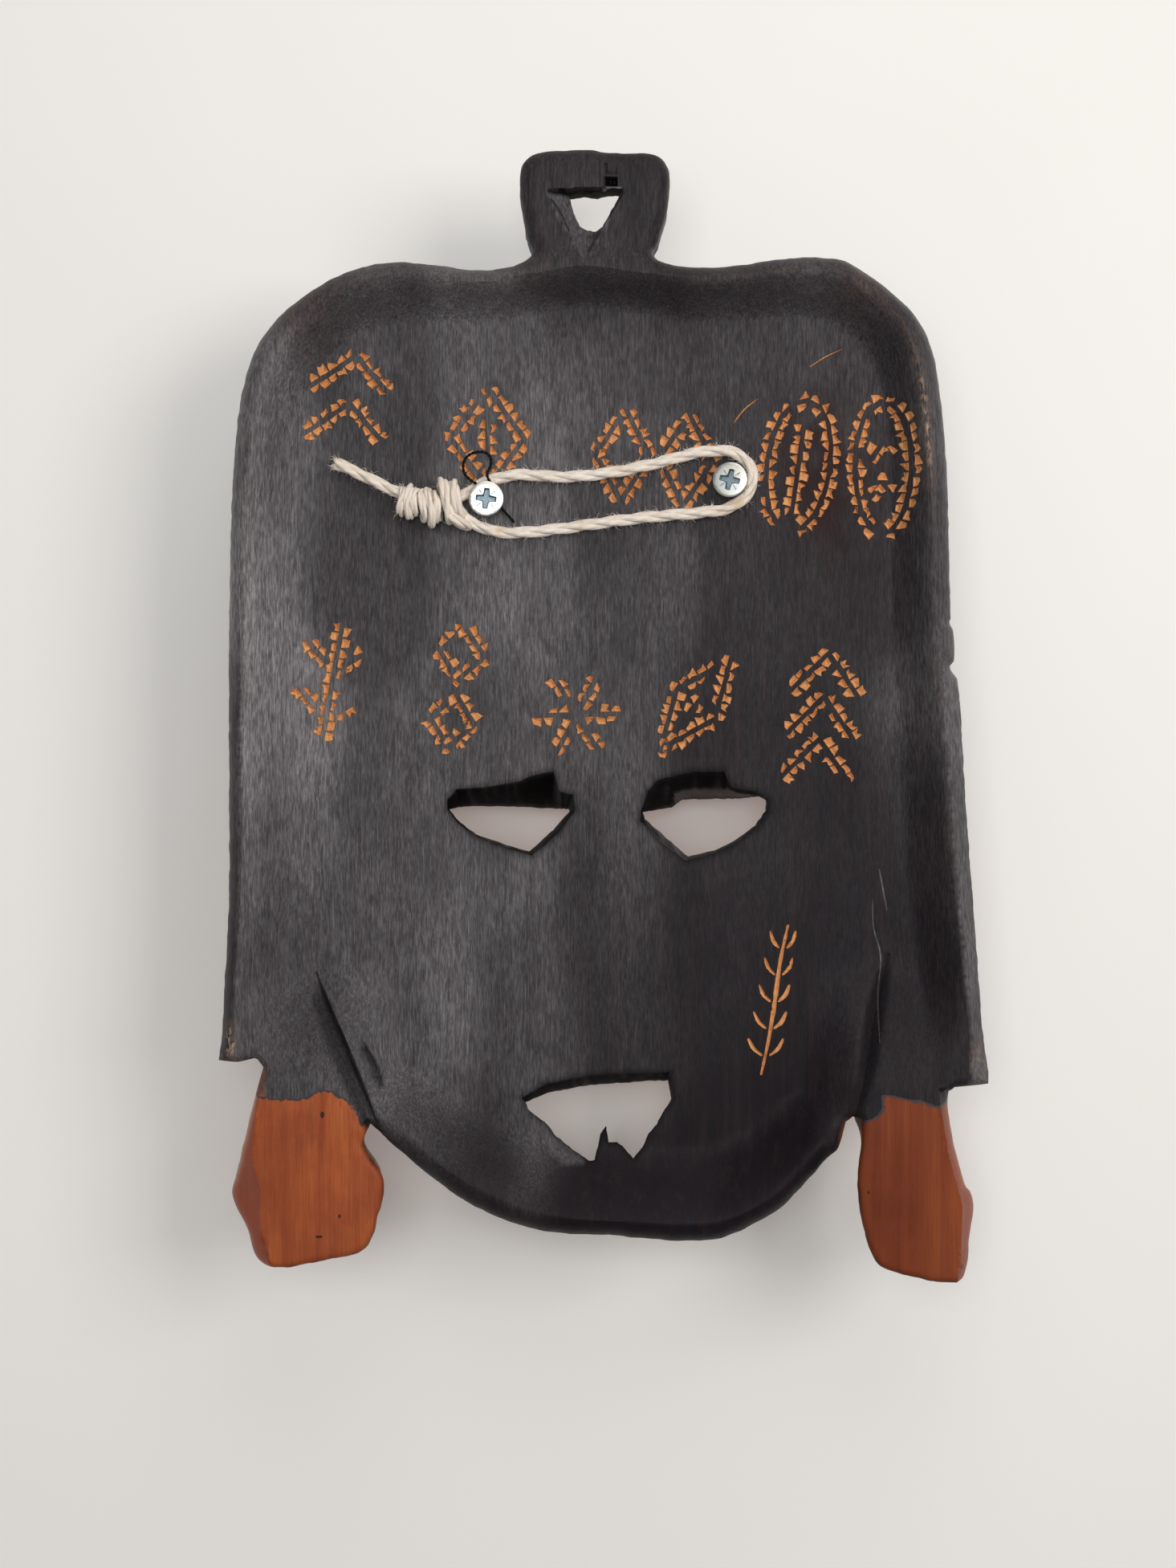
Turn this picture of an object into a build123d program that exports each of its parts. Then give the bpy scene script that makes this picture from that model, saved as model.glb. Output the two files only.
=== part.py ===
"""Carved wooden wall mask with a string hanger, modelled as it hangs. Millimetres.

Frame: +Z up, the carved front faces -Y, and the rim of the hollow back touches the wall plane
Y = 0. The origin is where a nail bears: the top of the handle's hole, on the wall plane.
Back-view sketches use (across, up): across grows to the right of a person looking at the back,
which is -X, and up is +Z. Depths are measured from the wall plane towards the front.
"""

import os
from math import cos, pi, radians, sin, tan

from build123d import *

# ---- driving dimensions -------------------------------------------------------------------
BOARD_DEPTH = 19.0  # wall plane to the flat front of the headdress
RIM_BEVEL = 6.0  # depth over which the board narrows to its rim
RIM_TAPER = 28.0  # degrees that the bevel leans inwards
HOLLOW_DEPTH = 7.5  # wall plane to the floor of the hollow back
FACE_DEPTH = 33.0  # wall plane to the crown of the carved face
NOSE_DEPTH = 42.0
HANDLE_BACK = 1.0  # the handle's back lies this far in front of the wall plane
HANDLE_DEPTH = 15.0
PENDANT_DEPTH = 17.0
THROUGH = 60.0  # longer than any wall that a cut passes through

BOARD_LEFT = -76.5
BOARD_TOP = -14.2
BOARD_FOOT = -179.2
FACE_CENTRE = (2.0, -146.0)
FACE_HALF = (51.0, 69.0)

SCREW_HEAD = 7.2  # head diameter of a 3.5 x 16 countersunk screw
SCREW_SHANK = 3.5
SCREW_CORE = 2.4
SCREW_LENGTH = 16.0
SCREW_PITCH = 1.4
SCREW_CONE = 2.3  # height of the countersunk cone
SCREW_RUNOUT = 1.6  # the shank narrows to its core over this length under the cone
SCREW_POINT = 3.0
HEAD_TOP_DEPTH = 2.5  # wall plane to the middle of a screw head
LEFT_SCREW_AT = (-23.1, -63.4)
RIGHT_SCREW_AT = (27.1, -59.5)
RIGHT_SCREW_LEAN = 14.0  # degrees that the right screw leans towards the left one

CORD_DIAMETER = 2.5
THREAD_DIAMETER = 0.45

BELOW_STAIN = -194.0  # the board's blank runs to here before its foot is cut
FRONT_ROUND = 4.0
FACE_STEPS = ((BOARD_DEPTH - 1.0, 1.0), (25.0, 0.93), (29.5, 0.74), (FACE_DEPTH, 0.38))
HOLLOW_CORNERS = [
    (-56.0, -19.0),
    (52.0, -19.0),
    (67.0, -34.0),
    (71.0, -100.0),
    (71.0, -166.0),
    (55.0, -186.0),
    (38.0, -202.0),
    (18.0, -209.0),
    (-12.0, -208.0),
    (-32.0, -198.0),
    (-49.0, -180.0),
    (-71.5, -168.0),
    (-71.5, -100.0),
    (-71.0, -36.0),
]
HOLLOW_CENTRE = (0.0, -112.0)
HOLLOW_FLOOR_SHARE = 0.87  # size of the hollow's floor against its mouth
HEADBAND_CENTRE = (1.0, -68.0)
HEADBAND_LENGTH = 136.0
HEADBAND_HEIGHT = 11.0
HEADBAND_RELIEF = 3.0
HAIR_GROOVES = 7  # on each side of the middle one
HAIR_PITCH = 8.6
HAIR_GROOVE = 1.6  # half width and depth of each groove
HAIR_START = 1.5  # the grooves start this far above the headband
LEFT_EYE_CENTRE = (-18.0, -130.5)
RIGHT_EYE_CENTRE = (22.0, -130.5)
EYE_HALF = (16.0, 9.5)
LID_DEPTH = 33.5
BROW_DEPTH = 34.5
BROW_INNER = (5.0, -116.0)  # brow ends and the tops of its two arcs, across from the face's middle
BROW_OUTER = (36.0, -120.0)
BROW_TOP = (21.0, -109.0)
BROW_UNDER = (21.0, -113.5)
EAR_ACROSS = 59.0
EAR_UP = -146.0
EAR_HALF = (7.5, 30.0)
EAR_RELIEF = 6.0
EAR_WALL = (3.0, 4.0)  # rim left round the hollow of an ear, across and up
EAR_HOLLOW = 4.0
NOSE_STEPS = (  # up, half width at the face, depth of the ridge
    (-112.0, 6.0, 33.0),
    (-158.0, 10.0, NOSE_DEPTH - 2.0),
    (-166.0, 12.5, NOSE_DEPTH),
    (-171.0, 10.0, 34.0),
)
NOSE_RIDGE_SHARE = 0.35  # width of the ridge against the nose's foot
MOUTH_CENTRE = (0.5, -191.0)
MOUTH_HALF = (20.0, 11.5)
LIP_DEPTH = 34.0
PENDANT_BEVEL = 7.0
PENDANT_BEVEL_LEAN = 20.0
DISC_RADIUS = 9.0
DISC_RELIEF = 2.5
DISC_RING = (2.5, 5.0)  # the ring groove lies between these insets from the disc's edge
DISC_RING_DEPTH = 1.5
THREAD_RINGS = 6
RECESS_ACROSS = 4.2
RECESS_SLOT = 1.0
RECESS_DEPTH = 2.1
KNOT_DEPTH = 4.0
KNOT_HALF_DEPTH = 3.1
KNOT_STEPS = ((-0.54, 0.72), (-0.3, 1.0), (0.3, 1.0), (0.54, 0.72))  # share of width, size there
LINTEL_DEPTH = 26.0  # the leaning cuts over eyes and mouth meet the straight ones here

os.makedirs("parts", exist_ok=True)


# ---- planes and points --------------------------------------------------------------------
def back_view(depth=0.0):
    """The back-view sketch plane at a depth; its normal points to the wall."""
    return Plane(origin=(0, -depth, 0), x_dir=(-1, 0, 0), z_dir=(0, 1, 0))


def side_view(across):
    """A plane across the mask at one distance across: its x is Y and its y is Z."""
    return Plane(origin=(-across, 0, 0), x_dir=(0, 1, 0), z_dir=(1, 0, 0))


def point(across, up, depth):
    """A back-view point and its depth as a point of the part's frame."""
    return Vector(-across, -depth, up)


def towards(corners, centre, share):
    """The corners of an outline drawn in towards a centre."""
    return [tuple(c + share * (p - c) for p, c in zip(corner, centre)) for corner in corners]


def save(piece, name):
    piece.part.label = name
    export_step(piece.part, f"parts/{name}.step")


# ---- screw places: each plane's origin is the middle of a head and its normal leaves the wood -
def screw_head(at, lean):
    """The plane of a screw head whose normal leans to the left, seen from behind, by some degrees."""
    across, out = sin(radians(lean)), cos(radians(lean))
    return Plane(origin=point(*at, HEAD_TOP_DEPTH), x_dir=(-out, across, 0), z_dir=(across, out, 0))


LEFT_HEAD = screw_head(LEFT_SCREW_AT, 0.0)
RIGHT_HEAD = screw_head(RIGHT_SCREW_AT, RIGHT_SCREW_LEAN)


# ---- outlines that pieces share -----------------------------------------------------------
LEFT_STAIN_LINE = [
    (-68.8, -185.7),
    (-65.7, -186.8),
    (-57.2, -185.0),
    (-50.0, -188.3),
    (-48.3, -191.8),
]
RIGHT_STAIN_LINE = [(54.2, -191.2), (58.2, -186.0), (66.0, -186.9), (71.6, -187.4)]

LEFT_EYE = [
    (-30.7, -127.6),
    (-29.0, -126.7),
    (-5.9, -127.5),
    (-9.3, -131.8),
    (-14.3, -136.2),
    (-25.3, -132.7),
]
RIGHT_EYE = [
    (9.3, -128.1),
    (15.3, -127.0),
    (33.0, -125.0),
    (34.9, -127.5),
    (28.0, -134.2),
    (18.7, -137.3),
]
MOUTH = [
    (-15.0, -188.4),
    (-1.5, -184.7),
    (14.5, -183.8),
    (15.2, -187.5),
    (10.1, -195.0),
    (7.3, -200.1),
    (3.8, -196.9),
    (1.7, -193.6),
    (-0.7, -200.5),
    (-5.3, -198.3),
]
HANDLE_HOLE = [
    (-5.8, -0.9),
    (0.0, 0.0),
    (4.9, -0.4),
    (3.9, -2.2),
    (0.7, -7.9),
    (-2.1, -8.2),
    (-4.7, -5.2),
]
# each leaning cut: from and to across, its top on the hollow's floor, and the edge that it meets
LINTEL_CUTS = [
    (-31.0, -6.0, -121.3, -127.2),
    (12.2, 28.5, -120.2, -126.0),
    (-12.0, 15.0, -182.6, -184.4),
]
LINTEL_LIP = 2.0  # the cuts start this far outside the hollow's floor
RECESS_MOUTH = [(-11.5, 1.2), (4.6, 1.2), (-3.0, -14.5)]
RECESS_FLOOR = [(-5.6, -0.6), (4.4, -0.6), (-1.6, -8.0)]
RECESS_FLOOR_DEPTH = 8.0  # in front of the handle's back
CHISEL_SLOT_AT = (2.9, 2.0)
CHISEL_SLOT = (2.7, 4.0, 4.5)  # width, height and depth
LEFT_GROOVE = [(-57.0, -165.0), (-45.5, -199.0)]
RIGHT_GROOVE = [(57.0, -160.0), (52.5, -196.0)]
GROOVE_RADIUS = 3.0
GROOVE_START_DEPTH = 3.0
GROOVE_END_DEPTH = 0.5

LEFT_PENDANT_RIM = [
    (-48.3, -194.2),
    (-43.8, -205.3),
    (-46.2, -214.5),
    (-49.2, -218.2),
    (-57.5, -220.5),
    (-66.7, -221.7),
    (-71.5, -219.5),
    (-76.3, -208.7),
    (-70.5, -192.8),
]
LEFT_FLANK = [
    (-86.0, -178.0),
    (-69.4, -178.0),
    (-70.8, -199.0),
    (-69.0, -213.0),
    (-65.6, -228.0),
    (-86.0, -228.0),
]
RIGHT_PENDANT_RIM = [
    (72.7, -190.3),
    (75.5, -204.5),
    (78.3, -210.3),
    (76.3, -222.8),
    (74.2, -224.5),
    (58.8, -221.7),
    (54.5, -214.5),
    (53.3, -206.2),
]
RIGHT_FLANK = [
    (70.4, -180.0),
    (71.6, -197.0),
    (74.0, -206.0),
    (74.4, -232.0),
    (88.0, -232.0),
    (88.0, -180.0),
]
LEFT_DISC_AT = (-58.5, -203.5)
RIGHT_DISC_AT = (65.0, -206.0)

# places along the string and the thread: across, up, depth
CORD_PLACES = [
    (-28.6, -66.6, 4.4),
    (-24.0, -69.6, 4.9),
    (-17.5, -70.4, 5.2),
    (-9.5, -69.6, 5.3),
    (0.0, -68.2, 5.3),
    (10.5, -66.9, 5.2),
    (20.5, -66.2, 5.0),
    (29.0, -65.0, 4.8),
    (33.0, -59.2, 4.8),
    (29.6, -53.4, 4.8),
    (22.0, -53.0, 5.0),
    (12.5, -55.8, 5.2),
    (2.5, -57.8, 5.3),
    (-7.5, -58.8, 5.3),
    (-16.5, -57.9, 5.2),
    (-23.9, -59.4, 5.7),
    (-29.2, -63.9, 4.6),
    (-36.5, -63.9, 4.2),
    (-43.5, -61.1, 4.4),
    (-49.0, -58.1, 4.8),
    (-54.8, -55.6, 4.6),
]
THREAD_PLACES = [
    (-17.4, -67.8, 7.2),
    (-19.2, -65.9, 7.0),
    (-20.8, -63.8, 7.1),
    (-21.4, -61.7, 7.1),
    (-23.4, -60.9, 7.1),
    (-25.3, -62.0, 7.1),
    (-25.6, -64.2, 7.1),
    (-24.0, -65.9, 7.1),
    (-21.7, -65.8, 7.1),
    (-20.3, -63.9, 6.7),
    (-20.4, -61.8, 5.2),
    (-22.1, -60.2, 3.7),
    (-23.2, -58.4, 3.4),
    (-21.9, -56.3, 3.6),
    (-22.4, -54.0, 3.6),
    (-24.9, -53.5, 3.6),
    (-27.4, -54.6, 3.7),
    (-28.1, -57.1, 3.8),
    (-27.0, -59.2, 3.8),
    (-24.9, -60.4, 3.8),
]
# each bundle of wraps: middle across, middle up, width, height
KNOT_WRAPS = [(-38.9, -63.7, 4.2, 6.8), (-34.9, -64.4, 4.6, 8.8), (-30.2, -63.9, 5.2, 9.8)]


# ---- mask body: the stained block with headdress, face, hollow back and handle --------------
with BuildPart() as mask_body:
    # the board: two low lobes on top, widest a little in front of its rim
    with BuildSketch(back_view(RIM_BEVEL)) as board_outline:
        with BuildLine():
            ThreePointArc((-13.5, -14.8), (-27.0, -15.9), (-42.5, BOARD_TOP))
            ThreePointArc((-42.5, BOARD_TOP), (-65.8, -25.3), (-75.3, -52.8))
            Polyline((-75.3, -52.8), (BOARD_LEFT, -92.8), (BOARD_LEFT, -142.8), (-78.5, BOARD_FOOT))
            Polyline((-78.5, BOARD_FOOT), (-78.5, BELOW_STAIN), (80.5, BELOW_STAIN), (80.5, BOARD_FOOT))
            Polyline((80.5, BOARD_FOOT), (77.8, -151.2), (73.7, -98.7), (72.7, -66.2), (71.5, -46.2))
            ThreePointArc((71.5, -46.2), (65.5, -24.8), (50.8, -13.8))
            ThreePointArc((50.8, -13.8), (30.0, -15.3), (11.0, -14.5))
            Line((11.0, -14.5), (-13.5, -14.8))
        make_face()
    extrude(amount=RIM_BEVEL, taper=RIM_TAPER)
    extrude(board_outline.sketch, amount=RIM_BEVEL - BOARD_DEPTH)
    front_edges = mask_body.faces().sort_by(Axis.Y)[0].edges()
    fillet(front_edges, radius=FRONT_ROUND)

    # the foot is cut to a step outside each pendant and to the stain line above it
    with BuildSketch(back_view()) as foot_cuts:
        with BuildLine():
            Polyline((-90.0, BOARD_FOOT), (-70.3, BOARD_FOOT), LEFT_STAIN_LINE[0])
            Spline(LEFT_STAIN_LINE)
            Polyline(LEFT_STAIN_LINE[-1], (-47.0, -192.5), (-47.0, -230.0))
            Polyline((-47.0, -230.0), (-90.0, -230.0), (-90.0, BOARD_FOOT))
        make_face()
        with BuildLine():
            Spline(RIGHT_STAIN_LINE)
            Polyline(RIGHT_STAIN_LINE[-1], (72.7, -184.0), (90.0, -183.7), (90.0, -230.0))
            Polyline((90.0, -230.0), (52.0, -230.0), (52.0, -191.5), RIGHT_STAIN_LINE[0])
        make_face()
    extrude(amount=THROUGH, both=True, mode=Mode.SUBTRACT)

    # the chin
    with BuildSketch(back_view(RIM_BEVEL)) as chin_outline:
        with BuildLine():
            Polyline((-47.0, -178.0), (-47.0, -192.5), (-44.2, -195.3))
            ThreePointArc((-44.2, -195.3), (-30.8, -206.9), (-12.5, -214.5))
            ThreePointArc((-12.5, -214.5), (4.0, -216.8), (22.0, -216.6))
            ThreePointArc((22.0, -216.6), (38.0, -209.6), (50.0, -197.0))
            Polyline((50.0, -197.0), (52.0, -191.5), (52.0, -178.0), (-47.0, -178.0))
        make_face()
    extrude(amount=RIM_BEVEL, taper=RIM_TAPER)
    extrude(chin_outline.sketch, amount=RIM_BEVEL - BOARD_DEPTH)

    # the face: a dome of four ellipses that get smaller towards its crown
    for depth, share in FACE_STEPS:
        with BuildSketch(back_view(depth)):
            with Locations(FACE_CENTRE):
                Ellipse(FACE_HALF[0] * share, FACE_HALF[1] * share)
    loft()

    # the handle, a small trapezium with rounded shoulders
    with BuildSketch(back_view(HANDLE_BACK)) as handle_outline:
        with BuildLine():
            Polyline((-14.5, -17.0), (-13.5, -13.0), (-15.7, -3.6), (-16.3, 3.0))
            ThreePointArc((-16.3, 3.0), (-15.4, 6.3), (-12.5, 8.2))
            ThreePointArc((-12.5, 8.2), (-1.0, 8.8), (10.9, 7.9))
            ThreePointArc((10.9, 7.9), (13.8, 6.2), (14.8, 2.5))
            Polyline((14.8, 2.5), (14.1, -4.3), (11.5, -12.5), (12.5, -17.0), (-14.5, -17.0))
        make_face()
    extrude(amount=-HANDLE_DEPTH)

    # the hollow back, down to the chin
    for depth, share in ((0.0, 1.0), (HOLLOW_DEPTH, HOLLOW_FLOOR_SHARE)):
        with BuildSketch(back_view(depth)):
            Polygon(*towards(HOLLOW_CORNERS, HOLLOW_CENTRE, share), align=None)
    loft(ruled=True, mode=Mode.SUBTRACT)

    # front relief: headband, brows, lids, nose, lips and ears
    with BuildSketch(back_view(BOARD_DEPTH - 1.0)):
        with Locations(HEADBAND_CENTRE):
            RectangleRounded(HEADBAND_LENGTH, HEADBAND_HEIGHT, 3.0)
    extrude(amount=-(HEADBAND_RELIEF + 1.0))
    for side, eye_centre in ((-1, LEFT_EYE_CENTRE), (1, RIGHT_EYE_CENTRE)):
        with BuildSketch(back_view(BOARD_DEPTH)):
            with Locations(eye_centre):
                Ellipse(*EYE_HALF)
        extrude(amount=-(LID_DEPTH - BOARD_DEPTH))
        with BuildSketch(back_view(BOARD_DEPTH)):
            with BuildLine():
                inner, outer, top, under = (
                    (FACE_CENTRE[0] + side * across, up)
                    for across, up in (BROW_INNER, BROW_OUTER, BROW_TOP, BROW_UNDER)
                )
                ThreePointArc(inner, top, outer)
                ThreePointArc(outer, under, inner)
            make_face()
        extrude(amount=-(BROW_DEPTH - BOARD_DEPTH))
        with BuildSketch(back_view(BOARD_DEPTH - 1.0)):
            with Locations((FACE_CENTRE[0] + side * EAR_ACROSS, EAR_UP)):
                Ellipse(*EAR_HALF)
        extrude(amount=-(EAR_RELIEF + 1.0))
        with BuildSketch(back_view(BOARD_DEPTH + EAR_RELIEF)):
            with Locations((FACE_CENTRE[0] + side * EAR_ACROSS, EAR_UP)):
                Ellipse(EAR_HALF[0] - EAR_WALL[0], EAR_HALF[1] - EAR_WALL[1])
        extrude(amount=EAR_HOLLOW, mode=Mode.SUBTRACT)
    for up, half_width, depth in NOSE_STEPS:
        with BuildSketch(Plane.XY.offset(up)):
            middle = -FACE_CENTRE[0]
            Polygon(
                (middle - half_width, -BOARD_DEPTH),
                (middle - half_width * NOSE_RIDGE_SHARE, -depth),
                (middle + half_width * NOSE_RIDGE_SHARE, -depth),
                (middle + half_width, -BOARD_DEPTH),
                align=None,
            )
    loft(ruled=True)
    with BuildSketch(back_view(BOARD_DEPTH)):
        with Locations(MOUTH_CENTRE):
            Ellipse(*MOUTH_HALF)
    extrude(amount=-(LIP_DEPTH - BOARD_DEPTH))

    # hair grooves above the headband, each a vee run up the front
    for step in range(-HAIR_GROOVES, HAIR_GROOVES + 1):
        with BuildSketch(Plane.XY.offset(HEADBAND_CENTRE[1] + HEADBAND_HEIGHT / 2 + HAIR_START)):
            across = FACE_CENTRE[0] + step * HAIR_PITCH
            Polygon(
                (-across - HAIR_GROOVE, -BOARD_DEPTH - 0.5),
                (-across + HAIR_GROOVE, -BOARD_DEPTH - 0.5),
                (-across, -BOARD_DEPTH + HAIR_GROOVE),
                align=None,
            )
        extrude(amount=THROUGH, mode=Mode.SUBTRACT)

    # eyes and mouth go right through; knife cuts lean back over the top of each on the hollow side
    with BuildSketch(back_view()):
        for corners in (LEFT_EYE, RIGHT_EYE, MOUTH, HANDLE_HOLE):
            Polygon(*corners, align=None)
    extrude(amount=-THROUGH, both=True, mode=Mode.SUBTRACT)
    for first, last, top, lintel in LINTEL_CUTS:
        with BuildSketch(side_view(first)):
            Polygon(
                (-HOLLOW_DEPTH + LINTEL_LIP, top),
                (-HOLLOW_DEPTH, top),
                (-LINTEL_DEPTH, lintel),
                (-HOLLOW_DEPTH + LINTEL_LIP, lintel - 1.0),
                align=None,
            )
        extrude(amount=first - last, mode=Mode.SUBTRACT)

    # the handle's hole opens into a vee-shaped recess and a chisel slot on the back
    recess_floor = HANDLE_BACK + RECESS_FLOOR_DEPTH
    for depth, corners in ((HANDLE_BACK - 0.5, RECESS_MOUTH), (recess_floor, RECESS_FLOOR)):
        with BuildSketch(back_view(depth)):
            Polygon(*corners, align=None)
    loft(mode=Mode.SUBTRACT)
    with BuildSketch(back_view(HANDLE_BACK - 0.5)):
        with Locations(CHISEL_SLOT_AT):
            Rectangle(CHISEL_SLOT[0], CHISEL_SLOT[1])
    extrude(amount=-CHISEL_SLOT[2] - 0.5, mode=Mode.SUBTRACT)

    # knife grooves between the face and the foot of each side
    for groove in (LEFT_GROOVE, RIGHT_GROOVE):
        with BuildLine():
            start = point(*groove[0], GROOVE_START_DEPTH)
            groove_line = Line(start, point(*groove[1], GROOVE_END_DEPTH))
        with BuildSketch(Plane(groove_line @ 0, z_dir=groove_line % 0)):
            RegularPolygon(GROOVE_RADIUS, 6)
        sweep(mode=Mode.SUBTRACT)

    # pilot holes for the two screws
    for head in (LEFT_HEAD, RIGHT_HEAD):
        with BuildSketch(head.offset(-SCREW_LENGTH + 0.5)):
            Circle(SCREW_CORE / 2)
        extrude(amount=SCREW_LENGTH, mode=Mode.SUBTRACT)

save(mask_body, "mask_body")


# ---- ear pendants: bare wood below the stain line, bevelled round the back --------------------
def ear_pendant(stain_line, rim, flank, disc_at):
    """A pendant from its stain line, its outline below, the bevelled stretch and its ear disc."""
    with BuildPart() as pendant:
        with BuildSketch(back_view()):
            with BuildLine():
                Spline(stain_line)
                Polyline(stain_line[-1], *rim, stain_line[0])
            make_face()
        extrude(amount=-PENDANT_DEPTH)
        with BuildSketch(back_view()):
            Polygon(*flank, align=None)
        extrude(amount=-PENDANT_BEVEL, taper=PENDANT_BEVEL_LEAN, mode=Mode.SUBTRACT)
        with BuildSketch(back_view(PENDANT_DEPTH)):
            with Locations(disc_at):
                Circle(DISC_RADIUS)
        extrude(amount=-DISC_RELIEF)
        with BuildSketch(back_view(PENDANT_DEPTH + DISC_RELIEF)):
            with Locations(disc_at):
                Circle(DISC_RADIUS - DISC_RING[0])
                Circle(DISC_RADIUS - DISC_RING[1], mode=Mode.SUBTRACT)
        extrude(amount=DISC_RING_DEPTH, mode=Mode.SUBTRACT)
    return pendant


left_ear_pendant = ear_pendant(LEFT_STAIN_LINE, LEFT_PENDANT_RIM, LEFT_FLANK, LEFT_DISC_AT)
save(left_ear_pendant, "left_ear_pendant")
right_ear_pendant = ear_pendant(RIGHT_STAIN_LINE, RIGHT_PENDANT_RIM, RIGHT_FLANK, RIGHT_DISC_AT)
save(right_ear_pendant, "right_ear_pendant")


# ---- hanger screws -------------------------------------------------------------------------
def hanger_screw(head, turn):
    """A countersunk wood screw with a cross recess, its head's middle on the plane's origin."""
    up = head.z_dir
    with BuildPart() as screw:
        with BuildSketch(Plane(origin=head.origin, x_dir=head.x_dir, z_dir=head.x_dir.cross(up))):
            with BuildLine():
                rim = (SCREW_HEAD / 2, -0.35)
                neck = (SCREW_SHANK / 2, -SCREW_CONE)
                ThreePointArc((0, 0), (SCREW_HEAD / 4, -0.06), (SCREW_HEAD / 2 - 0.15, -0.2))
                Polyline((SCREW_HEAD / 2 - 0.15, -0.2), rim, neck)
                core_top = (SCREW_CORE / 2, -SCREW_CONE - SCREW_RUNOUT)
                core_end = (SCREW_CORE / 2, -SCREW_LENGTH + SCREW_POINT)
                Polyline(neck, core_top, core_end, (0, -SCREW_LENGTH), (0, 0))
            make_face()
        revolve(axis=Axis(head.origin, up))
        for ring in range(THREAD_RINGS):
            crest = -SCREW_CONE - 2.6 - ring * SCREW_PITCH
            with BuildSketch(Plane(origin=head.origin, x_dir=head.x_dir, z_dir=head.x_dir.cross(up))):
                Polygon(
                    (SCREW_CORE / 2 - 0.3, crest + 0.45),
                    (SCREW_SHANK / 2, crest),
                    (SCREW_CORE / 2 - 0.3, crest - 0.45),
                    align=None,
                )
            revolve(axis=Axis(head.origin, up))
        with BuildSketch(head.offset(0.1)):
            for angle in (turn, turn + 90.0):
                with Locations(Rotation(0, 0, angle)):
                    Rectangle(RECESS_ACROSS, RECESS_SLOT)
        extrude(amount=-RECESS_DEPTH, taper=8.0, mode=Mode.SUBTRACT)
    return screw


left_screw = hanger_screw(LEFT_HEAD, -6.0)
save(left_screw, "left_screw")
right_screw = hanger_screw(RIGHT_HEAD, -13.0)
save(right_screw, "right_screw")


# ---- string and thread: straight runs joined by the largest tangent arcs that fit --------------
def corner_radii(route):
    """0.45 of the shorter run beside each corner over the tangent of half the corner's turn."""
    radii = []
    for before, corner, after in zip(route, route[1:], route[2:]):
        shorter = min((corner - before).length, (after - corner).length)
        turn = (corner - before).get_angle(after - corner)
        radii.append(0.45 * shorter / tan(radians(turn / 2)))
    return radii


def limp_line(route, diameter, name):
    """A round cord along its route, with its radii and its volume against section times length."""
    radii = corner_radii(route)
    with BuildPart() as cord:
        with BuildLine():
            path = FilletPolyline(*route, radius=radii)
        with BuildSketch(Plane(origin=path @ 0, z_dir=path % 0)):
            Circle(diameter / 2)
        sweep()
    length = path.length
    section = pi * diameter**2 / 4
    print(name, "length", round(length, 1), "radii", [round(r, 1) for r in radii])
    print(name, "volume", round(cord.part.volume, 2), "section x length", round(section * length, 2))
    return cord


CORD_ROUTE = [point(*place) for place in CORD_PLACES]
hanging_cord = limp_line(CORD_ROUTE, CORD_DIAMETER, "hanging_cord")
save(hanging_cord, "hanging_cord")

THREAD_ROUTE = [point(*place) for place in THREAD_PLACES]
black_thread = limp_line(THREAD_ROUTE, THREAD_DIAMETER, "black_thread")
save(black_thread, "black_thread")

# ---- knot: three bundles of wraps drawn tight round the cord ----------------------------------
with BuildPart() as cord_knot:
    for across, up, width, height in KNOT_WRAPS:
        for step, share in KNOT_STEPS:
            with BuildSketch(side_view(across + step * width)):
                with Locations((-KNOT_DEPTH, up)):
                    Ellipse(KNOT_HALF_DEPTH * share, height / 2 * share)
        loft()

save(cord_knot, "cord_knot")
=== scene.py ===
import math
import random

import bmesh
import bpy
import numpy as np
from mathutils import Matrix, Vector
from mathutils.geometry import delaunay_2d_cdt
from mathutils.kdtree import KDTree


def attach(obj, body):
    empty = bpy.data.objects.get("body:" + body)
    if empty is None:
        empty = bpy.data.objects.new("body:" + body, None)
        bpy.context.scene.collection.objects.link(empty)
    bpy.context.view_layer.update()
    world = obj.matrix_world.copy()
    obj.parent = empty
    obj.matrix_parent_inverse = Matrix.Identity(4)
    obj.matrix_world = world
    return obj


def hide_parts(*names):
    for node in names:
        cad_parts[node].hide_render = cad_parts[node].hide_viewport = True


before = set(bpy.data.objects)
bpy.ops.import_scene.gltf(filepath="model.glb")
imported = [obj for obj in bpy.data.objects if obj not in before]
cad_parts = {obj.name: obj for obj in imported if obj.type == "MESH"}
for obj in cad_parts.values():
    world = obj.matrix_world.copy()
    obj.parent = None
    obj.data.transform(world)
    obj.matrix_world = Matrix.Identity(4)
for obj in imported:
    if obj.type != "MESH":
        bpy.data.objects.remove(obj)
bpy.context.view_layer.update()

# Everything is drawn in the back view: across grows to the right of a person looking at the back,
# up is up, and depth grows from the wall plane towards the carved front. Millimetres.
MM = 0.001
# millimetres between the points of an outline
STEP = 0.9
# for the jitter of the sheets and the chips
rng = np.random.RandomState(11)


def place(across, up, depth):
    """A back-view point and its depth in the row frame, in metres."""
    return Vector((-across * MM, -depth * MM, up * MM))


def link(obj):
    """Puts an object in the scene."""
    bpy.context.scene.collection.objects.link(obj)
    return obj


# ---- camera, stage and lights ---------------------------------------------------------------
VIEW_AXIS = (-2.08, -122.25)
VIEW_DEPTH = 6.0
VIEW_DISTANCE = 450.0

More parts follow.
